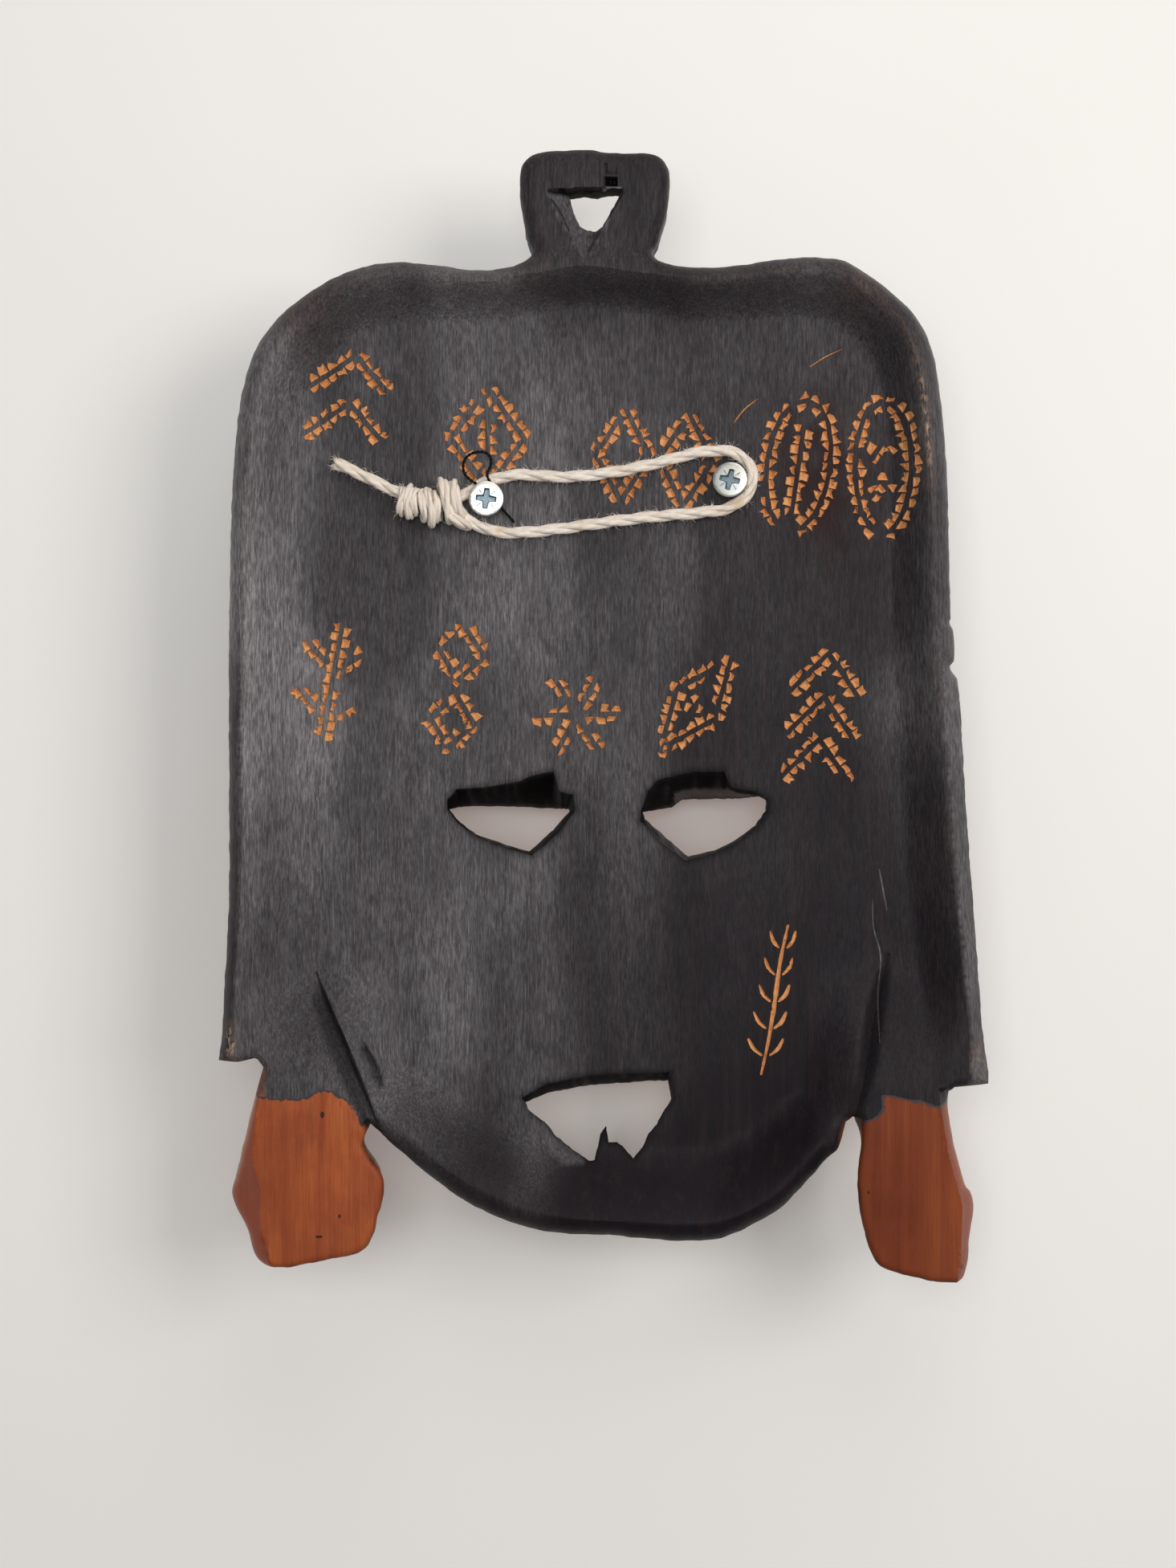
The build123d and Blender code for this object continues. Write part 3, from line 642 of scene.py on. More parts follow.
def face_form(points):
    """The domed face with its eye sockets, lids, brows and cheeks."""
    across, up = points[:, 0], points[:, 1]
    cx, cy, half_x, half_y = FACE
    r2 = ((across - cx) / half_x) ** 2 + ((up - cy) / half_y) ** 2
    form = 1.5 + 12.5 * np.clip(1.0 - r2, 0.0, 1.0) ** 0.62
    for side, eye_x in zip((-1.0, 1.0), EYES_ACROSS):
        form -= 2.6 * bump_at(across, up, (eye_x, -126.0), (20.0, 15.0), 1.3)
        form += 4.6 * bump_at(across, up, (eye_x, -130.5), (17.5, 10.0), 0.55)
        brow = smooth_run([(cx + side * 6, -118.5), (cx + side * 21, -111.0), (cx + side * 39, -119.5)], 1.0)
        form += 2.6 * np.sqrt(np.clip(1.0 - (gap_to(points, brow) / 3.4) ** 2, 0.0, 1.0))
        form += 1.2 * bump_at(across, up, (cx + side * 27, -160.0), (17.0, 20.0), 1.5)
    return form * ease(1.0 - r2, 0.0, 0.03) * ease(-up, 74.0, 78.0)


def ear_and_disc(across, up, ear_x, disc):
    """A hollowed ear, and the disc on the pendant below it."""
    ear = bump_at(across, up, (ear_x, -146.0), (7.6, 30.0), 0.4)
    hole = bump_at(across, up, (ear_x, -147.0), (4.4, 25.0), 0.5)
    far = np.hypot(across - disc[0], up - disc[1])
    raised = ease(-far, -DISC_RADIUS, -DISC_RADIUS + 0.9)
    boss = bump_at(across, up, disc, (3.2, 3.2), 0.6)
    return 6.2 * ear - 3.6 * hole + raised * (2.5 + 0.8 * boss) - 1.3 * bell(far - 5.6, 0.9)


def nose_form(across, up):
    """The nose with its wings and nostrils."""
    length = np.clip((-114.0 - up) / 52.0, 0.0, 1.0)
    half = 3.4 + 6.6 * length**1.6
    height = 2.0 + 9.5 * length**1.1
    nose = np.clip(1.0 - (np.abs(across - FACE[0]) / half) ** 2.2, 0.0, 1.0) ** 0.7
    form = nose * height * ease(up, -172.5, -166.5) * ease(-up, 111.0, 116.0)
    for side in (-1.0, 1.0):
        wing = bump_at(across, up, (FACE[0] + side * 8.2, -165.0), (5.0, 6.0), 0.6)
        form += 4.2 * wing * (1.0 - 0.6 * nose)
        form -= 2.4 * bump_at(across, up, (FACE[0] + side * 4.6, -170.2), (2.4, 1.7), 0.8)
    return form


def front_depth(points):
    """Depth of the carved front over each point."""
    across, up = points[:, 0], points[:, 1]
    edge, index, _ = nearest(points, WHOLE_RING, True)
    radius = np.where(along_value(ROLL_RADIUS, index) > 2.0, 4.0, 1.6)
    t = np.clip(1.0 - edge / radius, 0.0, 1.0)
    roll = radius * 0.9 * (1.0 - np.sqrt(1.0 - t * t))

    depth = BOARD + headdress(across, up)
    depth += face_form(points)
    for side, disc in zip((-1.0, 1.0), DISCS):
        depth += ear_and_disc(across, up, FACE[0] + side * EAR_REACH, disc)
    depth += nose_form(across, up)
    # lips round the mouth, the hollow over them, and the marks of the chisel
    lips = bump_at(across, up, (0.8, -196.8), (22.0, 12.4), 0.5)
    depth += 4.4 * lips * (1 - 0.2 * np.cos((up + 196.8) / 3.0))
    depth -= 1.2 * bump_at(across, up, (FACE[0], -177.5), (2.6, 5.0), 1.0)
    depth += 0.12 * wander(across, up, 3.5, 9.0, 6)

    on_handle = handle_share(across, up)
    depth = depth * (1 - on_handle) + HANDLE_FRONT * on_handle
    depth -= 2.0 * ease(-up, 184.0, 190.0) * ease(np.abs(across - 1.0), 50.0, 52.0)
    return depth - roll


# ---- openings: the edge on the back and the edge on the front, point for point -------------------
def flared(keys):
    """Front edge of an opening that widens towards the front round one point behind the mask."""
    axis = np.array(VIEW_AXIS)
    keys = np.array(keys, float)
    out = keys
    for _ in range(3):
        depth = front_depth(out)[:, None]
        out = axis + (keys - axis) * ((VIEW_DISTANCE - VIEW_DEPTH + depth) / VIEW_DISTANCE)
    return out


LEFT_EYE_BACK = [
    (-31.5, -125.6), (-29.6, -123.4), (-23.0, -122.9), (-16.3, -121.7), (-14.0, -120.5), (-9.3, -119.7),
    (-8.0, -123.8), (-5.2, -124.5), (-4.6, -127.6), (-8.3, -132.6), (-13.8, -137.2), (-18.7, -135.8),
    (-25.6, -133.2), (-29.0, -130.6), (-31.4, -127.6),
]
LEFT_EYE_VIEW = [
    (-30.8, -127.5), (-29.0, -127.0), (-25.0, -126.8), (-17.5, -127.0), (-14.0, -127.1), (-10.0, -127.3),
    (-7.5, -127.4), (-6.2, -127.5), (-5.8, -127.9), (-9.3, -131.8), (-14.3, -136.2), (-18.7, -135.0),
    (-25.3, -132.7), (-28.5, -130.3), (-30.7, -127.9),
]
RIGHT_EYE_BACK = [
    (9.0, -127.5), (10.4, -123.6), (12.2, -121.5), (19.7, -119.7), (26.2, -119.7), (27.8, -123.0),
    (33.4, -124.0), (35.6, -125.4), (35.6, -128.0), (33.4, -131.3), (28.5, -134.8), (24.6, -136.7),
    (18.4, -138.2), (13.7, -134.8), (8.8, -130.0),
]
RIGHT_EYE_VIEW = [
    (9.3, -128.1), (12.5, -127.6), (15.3, -127.1), (17.5, -125.5), (27.0, -125.3), (30.0, -125.2),
    (33.5, -124.8), (34.8, -125.7), (34.8, -127.8), (32.7, -130.8), (28.0, -134.2), (24.3, -136.0),
    (18.7, -137.3), (14.5, -133.7), (9.8, -129.5),
]
MOUTH_BACK = [
    (-15.8, -187.6), (-10.8, -184.7), (-1.5, -183.0), (6.5, -182.5), (14.9, -182.3), (15.8, -187.5),
    (13.9, -190.1), (12.2, -193.1), (10.5, -195.1), (9.3, -197.8), (7.3, -200.2), (5.2, -197.7),
    (4.0, -196.8), (2.2, -196.8), (1.7, -193.5), (0.5, -195.2), (-0.7, -200.5), (-2.0, -200.5),
    (-5.3, -198.3), (-9.2, -195.2), (-10.3, -193.3), (-14.6, -190.0),
]
MOUTH_VIEW = [
    (-15.0, -188.3), (-10.3, -186.3), (-1.5, -184.7), (6.5, -184.2), (14.5, -183.8), (15.2, -187.5),
    (13.7, -190.4), (12.1, -193.4), (10.6, -195.6), (9.6, -198.4), (7.6, -201.0), (5.2, -199.0),
    (4.0, -198.0), (2.0, -198.0), (1.6, -194.4), (0.9, -196.4), (-0.6, -201.5), (-2.2, -201.4),
    (-5.7, -199.0), (-9.6, -195.7), (-10.6, -193.8), (-14.5, -190.2),
]
HOLE_BACK = [
    (-6.0, -0.6), (-3.0, -0.2), (0.0, -0.4), (2.5, 0.1), (5.0, 0.0), (4.3, -1.6), (2.5, -4.8),
    (0.9, -7.6), (-0.8, -8.1), (-2.4, -7.9), (-3.7, -7.2), (-4.9, -4.8), (-5.7, -2.2),
]
HOLE_VIEW = [
    (-5.8, -0.9), (-3.0, -0.5), (0.0, -0.8), (2.5, -0.2), (4.9, -0.3), (4.1, -1.7), (2.4, -4.6),
    (0.8, -7.4), (-0.8, -7.7), (-2.3, -7.6), (-3.6, -6.8), (-4.8, -4.6), (-5.6, -2.3),
]


def paired(back, front, step=STEP):
    """Two rings with the same number of points, the corners of one facing those of the other."""
    back, front = np.array(back, float), np.array(front, float)
    rings = ([], [])
    for k in range(len(back)):
        n = (k + 1) % len(back)
        reach = max(np.linalg.norm(back[n] - back[k]), np.linalg.norm(front[n] - front[k]))
        t = np.linspace(0.0, 1.0, max(2, int(round(reach / step)) + 1))[:-1, None]
        for ring, keys in zip(rings, (back, front)):
            ring.append(keys[k] * (1 - t) + keys[n] * t)
    back, front = np.vstack(rings[0]), np.vstack(rings[1])
    jag = 0.12 * wander(back[:, 0] * 3, back[:, 1] * 3, 2.0, 2.0, 8)
    return back + np.column_stack((jag, np.roll(jag, 3))), front + np.column_stack((jag, -np.roll(jag, 2)))


OPENINGS = [
    paired(LEFT_EYE_BACK, flared(LEFT_EYE_VIEW)),
    paired(RIGHT_EYE_BACK, flared(RIGHT_EYE_VIEW)),
    paired(MOUTH_BACK, flared(MOUTH_VIEW)),
    paired(HOLE_BACK, flared(HOLE_VIEW), 0.7),
]


# ---- chip-carved ornaments on the back -------------------------------------------------------
def turned(points, degrees, centre):
    """Points turned round the origin and moved to a centre."""
    a = math.radians(degrees)
    return [
        (
            centre[0] + x * math.cos(a) - y * math.sin(a),
            centre[1] + x * math.sin(a) + y * math.cos(a),
        )
        for x, y in points
    ]


def lozenge(half_width, half_height, centre=(0.0, 0.0)):
    """A closed stroke with four corners."""
    x, y = centre
    top = (x, y + half_height)
    return [top, (x + half_width, y), (x, y - half_height), (x - half_width, y), top]


def leaf(half_width, half_height):
    """The two sides of a leaf."""
    turns = [math.pi * k / 8 for k in range(9)]
    return [
        [(side * half_width * math.sin(a) ** 0.9, half_height * math.cos(a)) for a in turns]
        for side in (-1, 1)
    ]


def chevron(half_width, drop, tip):
    """A bent stroke whose ends lie a drop below its tip."""
    return [(-half_width, tip - drop), (0.0, tip), (half_width, tip - drop)]


def upright(start, end):
    """A stroke up or down the middle."""
    return [(0.0, start), (0.0, end)]


def star(inner, outer, rays, first):
    """Strokes out from a middle left free, the first one turned by some degrees."""
    turns = [math.radians(first + 360 / rays * k) for k in range(rays)]
    return [[(r * math.sin(a), r * math.cos(a)) for r in (inner, outer)] for a in turns]


# centre, turn in degrees, strokes
ORNAMENTS = [
    ((-51.6, -42.0), -8, [chevron(8.5, 7.5, tip) for tip in (9.0, -1.0)]),
    ((-23.0, -50.2), 0, [lozenge(7.6, 10.5), upright(3.5, -3.5)]),
    ((11.8, -54.2), -4, [lozenge(5.6, 9.6, (-6.6, 0.0)), lozenge(5.6, 9.6, (6.6, 0.0))]),
    ((41.8, -55.8), -8, leaf(6.6, 13.6) + [upright(8.0, -13.0)]),
    ((59.2, -56.4), 0, leaf(5.6, 13.6) + [chevron(2.2, 3.0, tip) for tip in (5.0, -3.0)]),
    ((-55.2, -100.4), -10, [upright(-12.5, 12.5)] + [chevron(6.5, -5.5, tip) for tip in (1.5, -8.5)]),
    ((-29.4, -102.6), -8, [lozenge(4.6, 5.6, (0.0, 7.6)), lozenge(4.6, 5.6, (0.0, -6.6))]),
    ((-4.4, -107.8), -6, star(2.2, 8.8, 6, 22.5)),
    ((20.4, -105.6), -38, [lozenge(5.0, 12.0), upright(5.5, -5.5)]),
    ((46.8, -107.4), -6, [chevron(7.0, 8.5, tip) for tip in (12.5, 3.5, -5.5)]),
]
# spacing of the chips along a stroke, half the ridge between the two rows, and how near the middles
# of two chips may lie
CHIP_PITCH = 2.2
RIDGE = 0.36
CHIP_GAP = 1.5
# the share of chips that the carver missed
MISSED = 0.02
STROKE_STEP = 0.25


def chip_rim(base, ahead, out):
    """The five corners of a chip beside a stroke, each a little off."""

    def corner(along, aside):
        return base + ahead * along + out * (RIDGE + aside)

    back = CHIP_PITCH * (0.45 + 0.04 * rng.rand())
    front = CHIP_PITCH * (0.47 + (0.12 if rng.rand() < 0.35 else 0.0))
    wide = 1.75 + 0.45 * rng.rand()
    return [
        corner(-back, 0.15 * rng.rand()),
        corner(front, 0.15 * rng.rand()),
        corner(front - 0.25 * rng.rand(), wide * (0.85 + 0.2 * rng.rand())),
        corner(-back * (0.45 + 0.35 * rng.rand()), wide),
        corner(-(back - 0.05), wide * (0.3 + 0.35 * rng.rand())),
    ]


def chips():
    """The rim, keel and depth of every chip: two rows of teeth along each stroke."""
    made, middles = [], []
    strokes = [turned(stroke, turn, centre) for centre, turn, lines in ORNAMENTS for stroke in lines]
    for stroke in strokes:
        line = resample(stroke, STROKE_STEP)
        for k in range(int(len(line) * STROKE_STEP / CHIP_PITCH)):
            for side in (-1.0, 1.0):
                s = (k + 0.5 + 0.25 * side) * CHIP_PITCH / STROKE_STEP
                i = int(min(max(s, 2), len(line) - 3))
                ahead = line[min(i + 2, len(line) - 1)] - line[max(i - 2, 0)]
                ahead /= max(np.linalg.norm(ahead), 1e-6)
                out = side * np.array((-ahead[1], ahead[0]))
                rim = chip_rim(line[i], ahead, out)
                middle = sum(rim) / len(rim)
                if any(np.linalg.norm(middle - m) < CHIP_GAP for m in middles) or rng.rand() < MISSED:
                    continue
                middles.append(middle)
                keel = [middle - out * 0.3 - ahead * 0.55, middle - out * 0.3 + ahead * 0.35]
                made.append((np.array(rim), np.array(keel), 0.55 + 0.3 * rng.rand()))
    return made


def scratch(points, width, depth, step=1.2):
    """A thin knife line: a narrow rim round a keel."""
    line = smooth_run(points, step)
    if len(line) < 3:
        line = resample(points, step / 2)
    tangent, normal = side_normals(line)
    share = np.linspace(0.0, 1.0, len(line))
    half = 0.5 * width * (0.35 + 0.65 * np.sin(np.pi * np.clip(share, 0.04, 0.96)) ** 0.5)[:, None]
    half = half * (1.0 + 0.25 * wander(line[:, 0] * 4, line[:, 1] * 4, 3, 3, 9))[:, None]
    tips = (line[0] - tangent[0] * 0.3, line[-1] + tangent[-1] * 0.3)
    rim = np.vstack((tips[0], line - normal * half, tips[1], (line + normal * half)[::-1]))
    return rim, line, depth


SPRIG = (36.6, -167.2)


def sprig():
    """A thin scratched sprig: a bent stem with pairs of short leaves."""
    stem = [(-2.6, -15.5), (-1.0, -8.0), (0.3, 0.0), (1.4, 8.0), (3.0, 15.5)]
    cuts = [scratch([(SPRIG[0] + x, SPRIG[1] + y) for x, y in stem], 1.0, 0.45)]
    for k in range(5):
        y = -12.0 + 5.6 * k
        x = np.interp(y, [-15.5, 15.5], [-2.2, 2.8])
        for side in (-1, 1):
            start = (SPRIG[0] + x + side * 0.9, SPRIG[1] + y + 0.5)
            end = (SPRIG[0] + x + side * (3.6 - 0.25 * k), SPRIG[1] + y + 3.8)
            middle = ((start[0] + end[0]) / 2 + side * 0.25, (start[1] + end[1]) / 2 - 0.4)
            cuts.append(scratch([start, middle, end], 0.9, 0.4, 0.9))
    return cuts


LOOSE_SCRATCHES = [
    scratch([(28.3, -47.0), (30.5, -44.2), (33.3, -42.0)], 0.4, 0.12),
    scratch([(44.2, -35.3), (47.5, -33.2), (50.8, -31.7)], 0.4, 0.12),
]
BARE_CUTS = chips() + sprig() + LOOSE_SCRATCHES
CRACKS = [
    smooth_run([(57.2, -146.3), (57.4, -152.0), (58.9, -158.0), (58.3, -165.3), (58.1, -175.5)], 1.2),
    smooth_run([(58.6, -140.0), (60.2, -148.5)], 1.2),
]
# a square notch in the handle over its hole, and a shallow one above it
SLOT = (
    np.array([(1.3, 2.5), (1.35, 0.45), (4.1, 0.4), (4.0, 2.4)]),
    np.array([
        (1.6, 0.7), (1.6, 2.2), (2.2, 2.2), (2.2, 0.7), (2.9, 0.7), (2.9, 2.2), (3.7, 2.1), (3.7, 0.7),
    ]),
    1.7,
)
SLOT_TOP = (
    np.array([(1.3, 5.3), (1.3, 2.9), (3.9, 2.8), (3.8, 4.9), (2.0, 5.0)]),
    np.array([(1.6, 5.0), (1.6, 3.2), (2.5, 3.2), (3.5, 3.2)]),
    0.3,
)
LEFT_SCORE = [(-9.6, -2.2), (-7.6, -5.2), (-6.0, -8.6)]
DARK_CUTS = [scratch(line, 0.55, 0.15) for line in CRACKS]
DARK_CUTS += [SLOT, SLOT_TOP, scratch(LEFT_SCORE, 0.6, 0.5)]


# ---- sheets of triangles ---------------------------------------------------------------------
# triangles with less than this many square millimetres lie along a straight run, and are left out
LEAST_AREA = 1e-6
# the height of a triangle with equal sides of 1
ROW_SHARE = 0.866
# how near to a drawn line a point of a skirt may lie
SKIRT_CLEARANCE = 0.24


def fill(rings, marks=(), creases=(), spacing=1.0, skirts=(0.25, 0.7, 1.35, 2.1)):
    """Triangles over the first ring less the others, with every mark and crease on edges.

    Returns the points, the triangles, each ring's point numbers, how far each point sinks, and
    which mark each triangle belongs to, or -1.
    """
    points, edges, sinks, mark_of = [], [], [], {}

    def lay(line, closed, sink=0.0):
        ids = list(range(len(points), len(points) + len(line)))
        points.extend((float(p[0]), float(p[1])) for p in line)
        sinks.extend([sink] * len(line))
        edges.extend(zip(ids, ids[1:]))
        if closed:
            edges.append((ids[-1], ids[0]))
        return ids

    ring_ids = [lay(ring, True) for ring in rings]
    for crease in creases:
        lay(crease, False)
    for number, (rim, keel, depth) in enumerate(marks):
        lay(rim, True)
        for i in lay(keel, False, depth):
            mark_of[i] = number
    solid = np.array(points)
    guard = [solid]
    for a, b in edges:
        reach = np.linalg.norm(solid[b] - solid[a])
        if reach > 0.5:
            t = np.linspace(0.0, 1.0, int(reach / 0.4) + 2)[1:-1, None]
            guard.append(solid[a] * (1 - t) + solid[b] * t)
    for rim, keel, _ in marks:
        guard.append((rim + keel[0]) / 2 if len(keel) == 1 else keel)
    guard = np.vstack(guard)

    # rows of points along the outer ring, then a staggered grid of points over the rest
    outer = rings[0]
    area = 0.5 * np.sum(outer[:, 0] * np.roll(outer[:, 1], -1) - np.roll(outer[:, 0], -1) * outer[:, 1])
    inward = ring_normals(outer) * np.sign(area)
    loose = []
    for number, inset in enumerate(skirts):
        row = (outer + inward * inset)[number % 2 :]
        loose.append(row[(gap_to(row, outer, True) > inset * 0.92) & inside(row, outer)])
    low, high = outer.min(0), outer.max(0)
    rows = np.arange(low[1], high[1], spacing * ROW_SHARE)
    grid = []
    for number, up in enumerate(rows):
        line = np.arange(low[0] + (number % 2) * spacing / 2, high[0], spacing)
        grid.append(np.column_stack((line, np.full(len(line), up))))
    grid = np.vstack(grid)
    grid += (rng.rand(*grid.shape) - 0.5) * spacing * 0.3
    grid = grid[inside(grid, outer)]
    widest = skirts[-1] if skirts else 0.0
    loose.append(grid[gap_to(grid, outer, True) > widest + spacing * 0.6])

    tree = KDTree(len(guard))
    for i, p in enumerate(guard):
        tree.insert((p[0], p[1], 0.0), i)
    tree.balance()
    for row in loose:
        for ring in rings[1:]:
            row = row[~inside(row, ring)]
        reach = SKIRT_CLEARANCE if row is not loose[-1] else 0.4 * spacing
        for p in row:
            if tree.find((p[0], p[1], 0.0))[2] > reach:
                points.append((float(p[0]), float(p[1])))
                sinks.append(0.0)

    out = delaunay_2d_cdt([Vector(p) for p in points], edges, [], 0, 1e-7, True)
    flat = np.array([(v.x, v.y) for v in out[0]])
    tris = np.array(out[2])
    where, sunk, marked = {}, np.zeros(len(flat)), np.full(len(flat), -1)
    for j, ids in enumerate(out[3]):
        for i in ids:
            where[i] = j
            if sinks[i] > sunk[j]:
                sunk[j] = sinks[i]
            if i in mark_of:
                marked[j] = mark_of[i]
    middles = flat[tris].mean(1)
    keep = inside(middles, outer)
    for ring in rings[1:]:
        keep &= ~inside(middles, ring)
    tris = tris[keep]
    a, b, c = flat[tris[:, 0]], flat[tris[:, 1]], flat[tris[:, 2]]
    turn = (b[:, 0] - a[:, 0]) * (c[:, 1] - a[:, 1]) - (b[:, 1] - a[:, 1]) * (c[:, 0] - a[:, 0])
    tris[turn < 0] = tris[turn < 0][:, ::-1]
    tris = tris[np.abs(turn) / 2 > LEAST_AREA]
    mark = marked[tris].max(1)
    return flat, tris, [[where[i] for i in ids] for ids in ring_ids], sunk, mark


def shell(ring, front_ring, openings, marks, creases, spacing, front_spacing, rows=5):
    """A closed body of wood: back sheet, front sheet, outer wall and the wall of each opening.

    Returns points (across, up, depth), triangles, the mark of each triangle, a share for each point
    from 0 on the back to 1 on the front, and how far each point is sunk below the surface.
    """
    flat, tris, back_rings, sunk, mark = fill([ring] + [o[0] for o in openings], marks, creases, spacing)
    back = np.column_stack((flat, back_depth(flat) + sunk))
    flat_f, tris_f, front_rings, _, _ = fill([front_ring] + [o[1] for o in openings], (), (), front_spacing)
    front = np.column_stack((flat_f, front_depth(flat_f)))
    points, shares = [back, front], [np.zeros(len(back)), np.ones(len(front))]
    sinks = [sunk, np.zeros(len(front))]
    faces, marks_out = [tris, tris_f[:, ::-1] + len(back)], [mark, np.full(len(tris_f), -1)]
    total = len(back) + len(front)
    for a_ids, b_ids in zip(back_rings, front_rings):
        a_ids, b_ids = np.array(a_ids), np.array(b_ids) + len(back)
        start, end = back[a_ids], front[b_ids - len(back)]
        levels = [a_ids]
        for k in range(1, rows + 1):
            t = k / (rows + 1)
            row = start * (1 - t) + end * t
            chop = 0.2 * wander(np.arange(len(row)) * 0.9, np.full(len(row), k * 1.0), 1.5, 4.0, 12)
            row[:, 0] += chop
            row[:, 1] += np.roll(chop, 5)
            points.append(row)
            shares.append(np.full(len(row), t))
            sinks.append(np.zeros(len(row)))
            levels.append(np.arange(total, total + len(row)))
            total += len(row)
        levels.append(b_ids)
        for low, high in zip(levels, levels[1:]):
            ln, hn = np.roll(low, -1), np.roll(high, -1)
            faces.append(np.column_stack((low, ln, hn)))
            faces.append(np.column_stack((low, hn, high)))
            marks_out.append(np.full(2 * len(low), -1))
    points, faces = np.vstack(points), np.vstack(faces)
    marks_out, shares, sinks = (np.concatenate(rows) for rows in (marks_out, shares, sinks))
    used = np.unique(faces)
    renumber = np.full(len(points), -1)
    renumber[used] = np.arange(len(used))
    return points[used], renumber[faces], marks_out, shares[used], sinks[used]


def tri_object(name, points, tris, materials, material_index=None, values=None, sharp=32.0):
    """A mesh object from back-view points and triangles, normals turned outwards."""
    mesh = bpy.data.meshes.new(name)
    # as place() does it, for all points at once
    xyz = np.column_stack((-points[:, 0], -points[:, 2], points[:, 1])) * MM
    mesh.vertices.add(len(xyz))
    mesh.vertices.foreach_set("co", xyz.astype(np.float32).ravel())
    mesh.loops.add(3 * len(tris))
    mesh.loops.foreach_set("vertex_index", tris.astype(np.int32).ravel())
    mesh.polygons.add(len(tris))
    mesh.polygons.foreach_set("loop_start", np.arange(0, 3 * len(tris), 3, dtype=np.int32))
    for material in materials:
        mesh.materials.append(material)
    if material_index is not None:
        mesh.polygons.foreach_set("material_index", material_index.astype(np.int32))
    mesh.update(calc_edges=True)
    for key, value in (values or {}).items():
        layer = mesh.attributes.new(key, "FLOAT", "POINT")
        layer.data.foreach_set("value", np.asarray(value, np.float32))
    work = bmesh.new()
    work.from_mesh(mesh)
    bmesh.ops.recalc_face_normals(work, faces=work.faces)
    work.to_mesh(mesh)
    work.free()
    mesh.shade_smooth()
    mesh.set_sharp_from_angle(angle=math.radians(sharp))
    return link(bpy.data.objects.new(name, mesh))


def ride_as(obj, slot, *nodes):
    """Declares a piece on the one body and the CAD nodes that it replaces. The slot is not used."""
    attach(obj, "root")
    if nodes:
        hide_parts(*nodes)
    return obj


# ---- string and thread -------------------------------------------------------------------------
CORD_DIAMETER = 2.5
CORD_PLACES = [
    (-28.6, -66.6, 4.4), (-24.0, -69.6, 4.9), (-17.5, -70.4, 5.2), (-9.5, -69.6, 5.3), (0.0, -68.2, 5.3),
    (10.5, -66.9, 5.2), (20.5, -66.2, 5.0), (29.0, -65.0, 4.8), (33.0, -59.2, 4.8), (29.6, -53.4, 4.8),
    (22.0, -53.0, 5.0), (12.5, -55.8, 5.2), (2.5, -57.8, 5.3), (-7.5, -58.8, 5.3), (-16.5, -57.9, 5.2),
    (-23.9, -59.4, 5.7), (-29.2, -63.9, 4.6), (-36.5, -63.9, 4.2), (-43.5, -61.1, 4.4),
    (-49.0, -58.1, 4.8), (-54.8, -55.6, 4.6),
]
THREAD_DIAMETER = 0.45
THREAD_PLACES = [
    (-17.4, -67.8, 7.2), (-19.2, -65.9, 7.0), (-20.8, -63.8, 7.1), (-21.4, -61.7, 7.1),
    (-23.4, -60.9, 7.1), (-25.3, -62.0, 7.1), (-25.6, -64.2, 7.1), (-24.0, -65.9, 7.1),
    (-21.7, -65.8, 7.1), (-20.3, -63.9, 6.7), (-20.4, -61.8, 5.2), (-22.1, -60.2, 3.7),
    (-23.2, -58.4, 3.4), (-21.9, -56.3, 3.6), (-22.4, -54.0, 3.6), (-24.9, -53.5, 3.6),
    (-27.4, -54.6, 3.7), (-28.1, -57.1, 3.8), (-27.0, -59.2, 3.8), (-24.9, -60.4, 3.8),
]


def route_line(name, places):
    """The smooth line of a cord: the points of a NURBS spline with the route as control points."""
    data = bpy.data.curves.new(name, "CURVE")
    data.dimensions = "3D"
    data.resolution_u = 14
    spline = data.splines.new("NURBS")
    spline.points.add(len(places) - 1)
    for point, spot in zip(spline.points, places):
        point.co = (*place(*spot), 1.0)
    spline.order_u = 3
    spline.use_endpoint_u = True
    holder = link(bpy.data.objects.new(name, data))
    bpy.context.view_layer.update()
    mesh = bpy.data.meshes.new_from_object(holder)
    line = [v.co.copy() for v in mesh.vertices]
    bpy.data.objects.remove(holder)
    bpy.data.meshes.remove(mesh)
    return line


def frames_along(line, closed=False):
    """A tangent and a steady normal at each point of a line."""
    count = len(line)
    tangents = []
    for i in range(count):
        a = line[i - 1] if (i or closed) else line[i]
        b = line[(i + 1) % count] if (i < count - 1 or closed) else line[i]
        tangents.append((b - a).normalized())
    normal = tangents[0].orthogonal().normalized()
    out = []
    for t in tangents:
        normal = (normal - t * normal.dot(t)).normalized()
        out.append((t, normal, t.cross(normal)))
    return out


# millimetres of a ply for 1 in its UV map
UV_LENGTH = 10.0


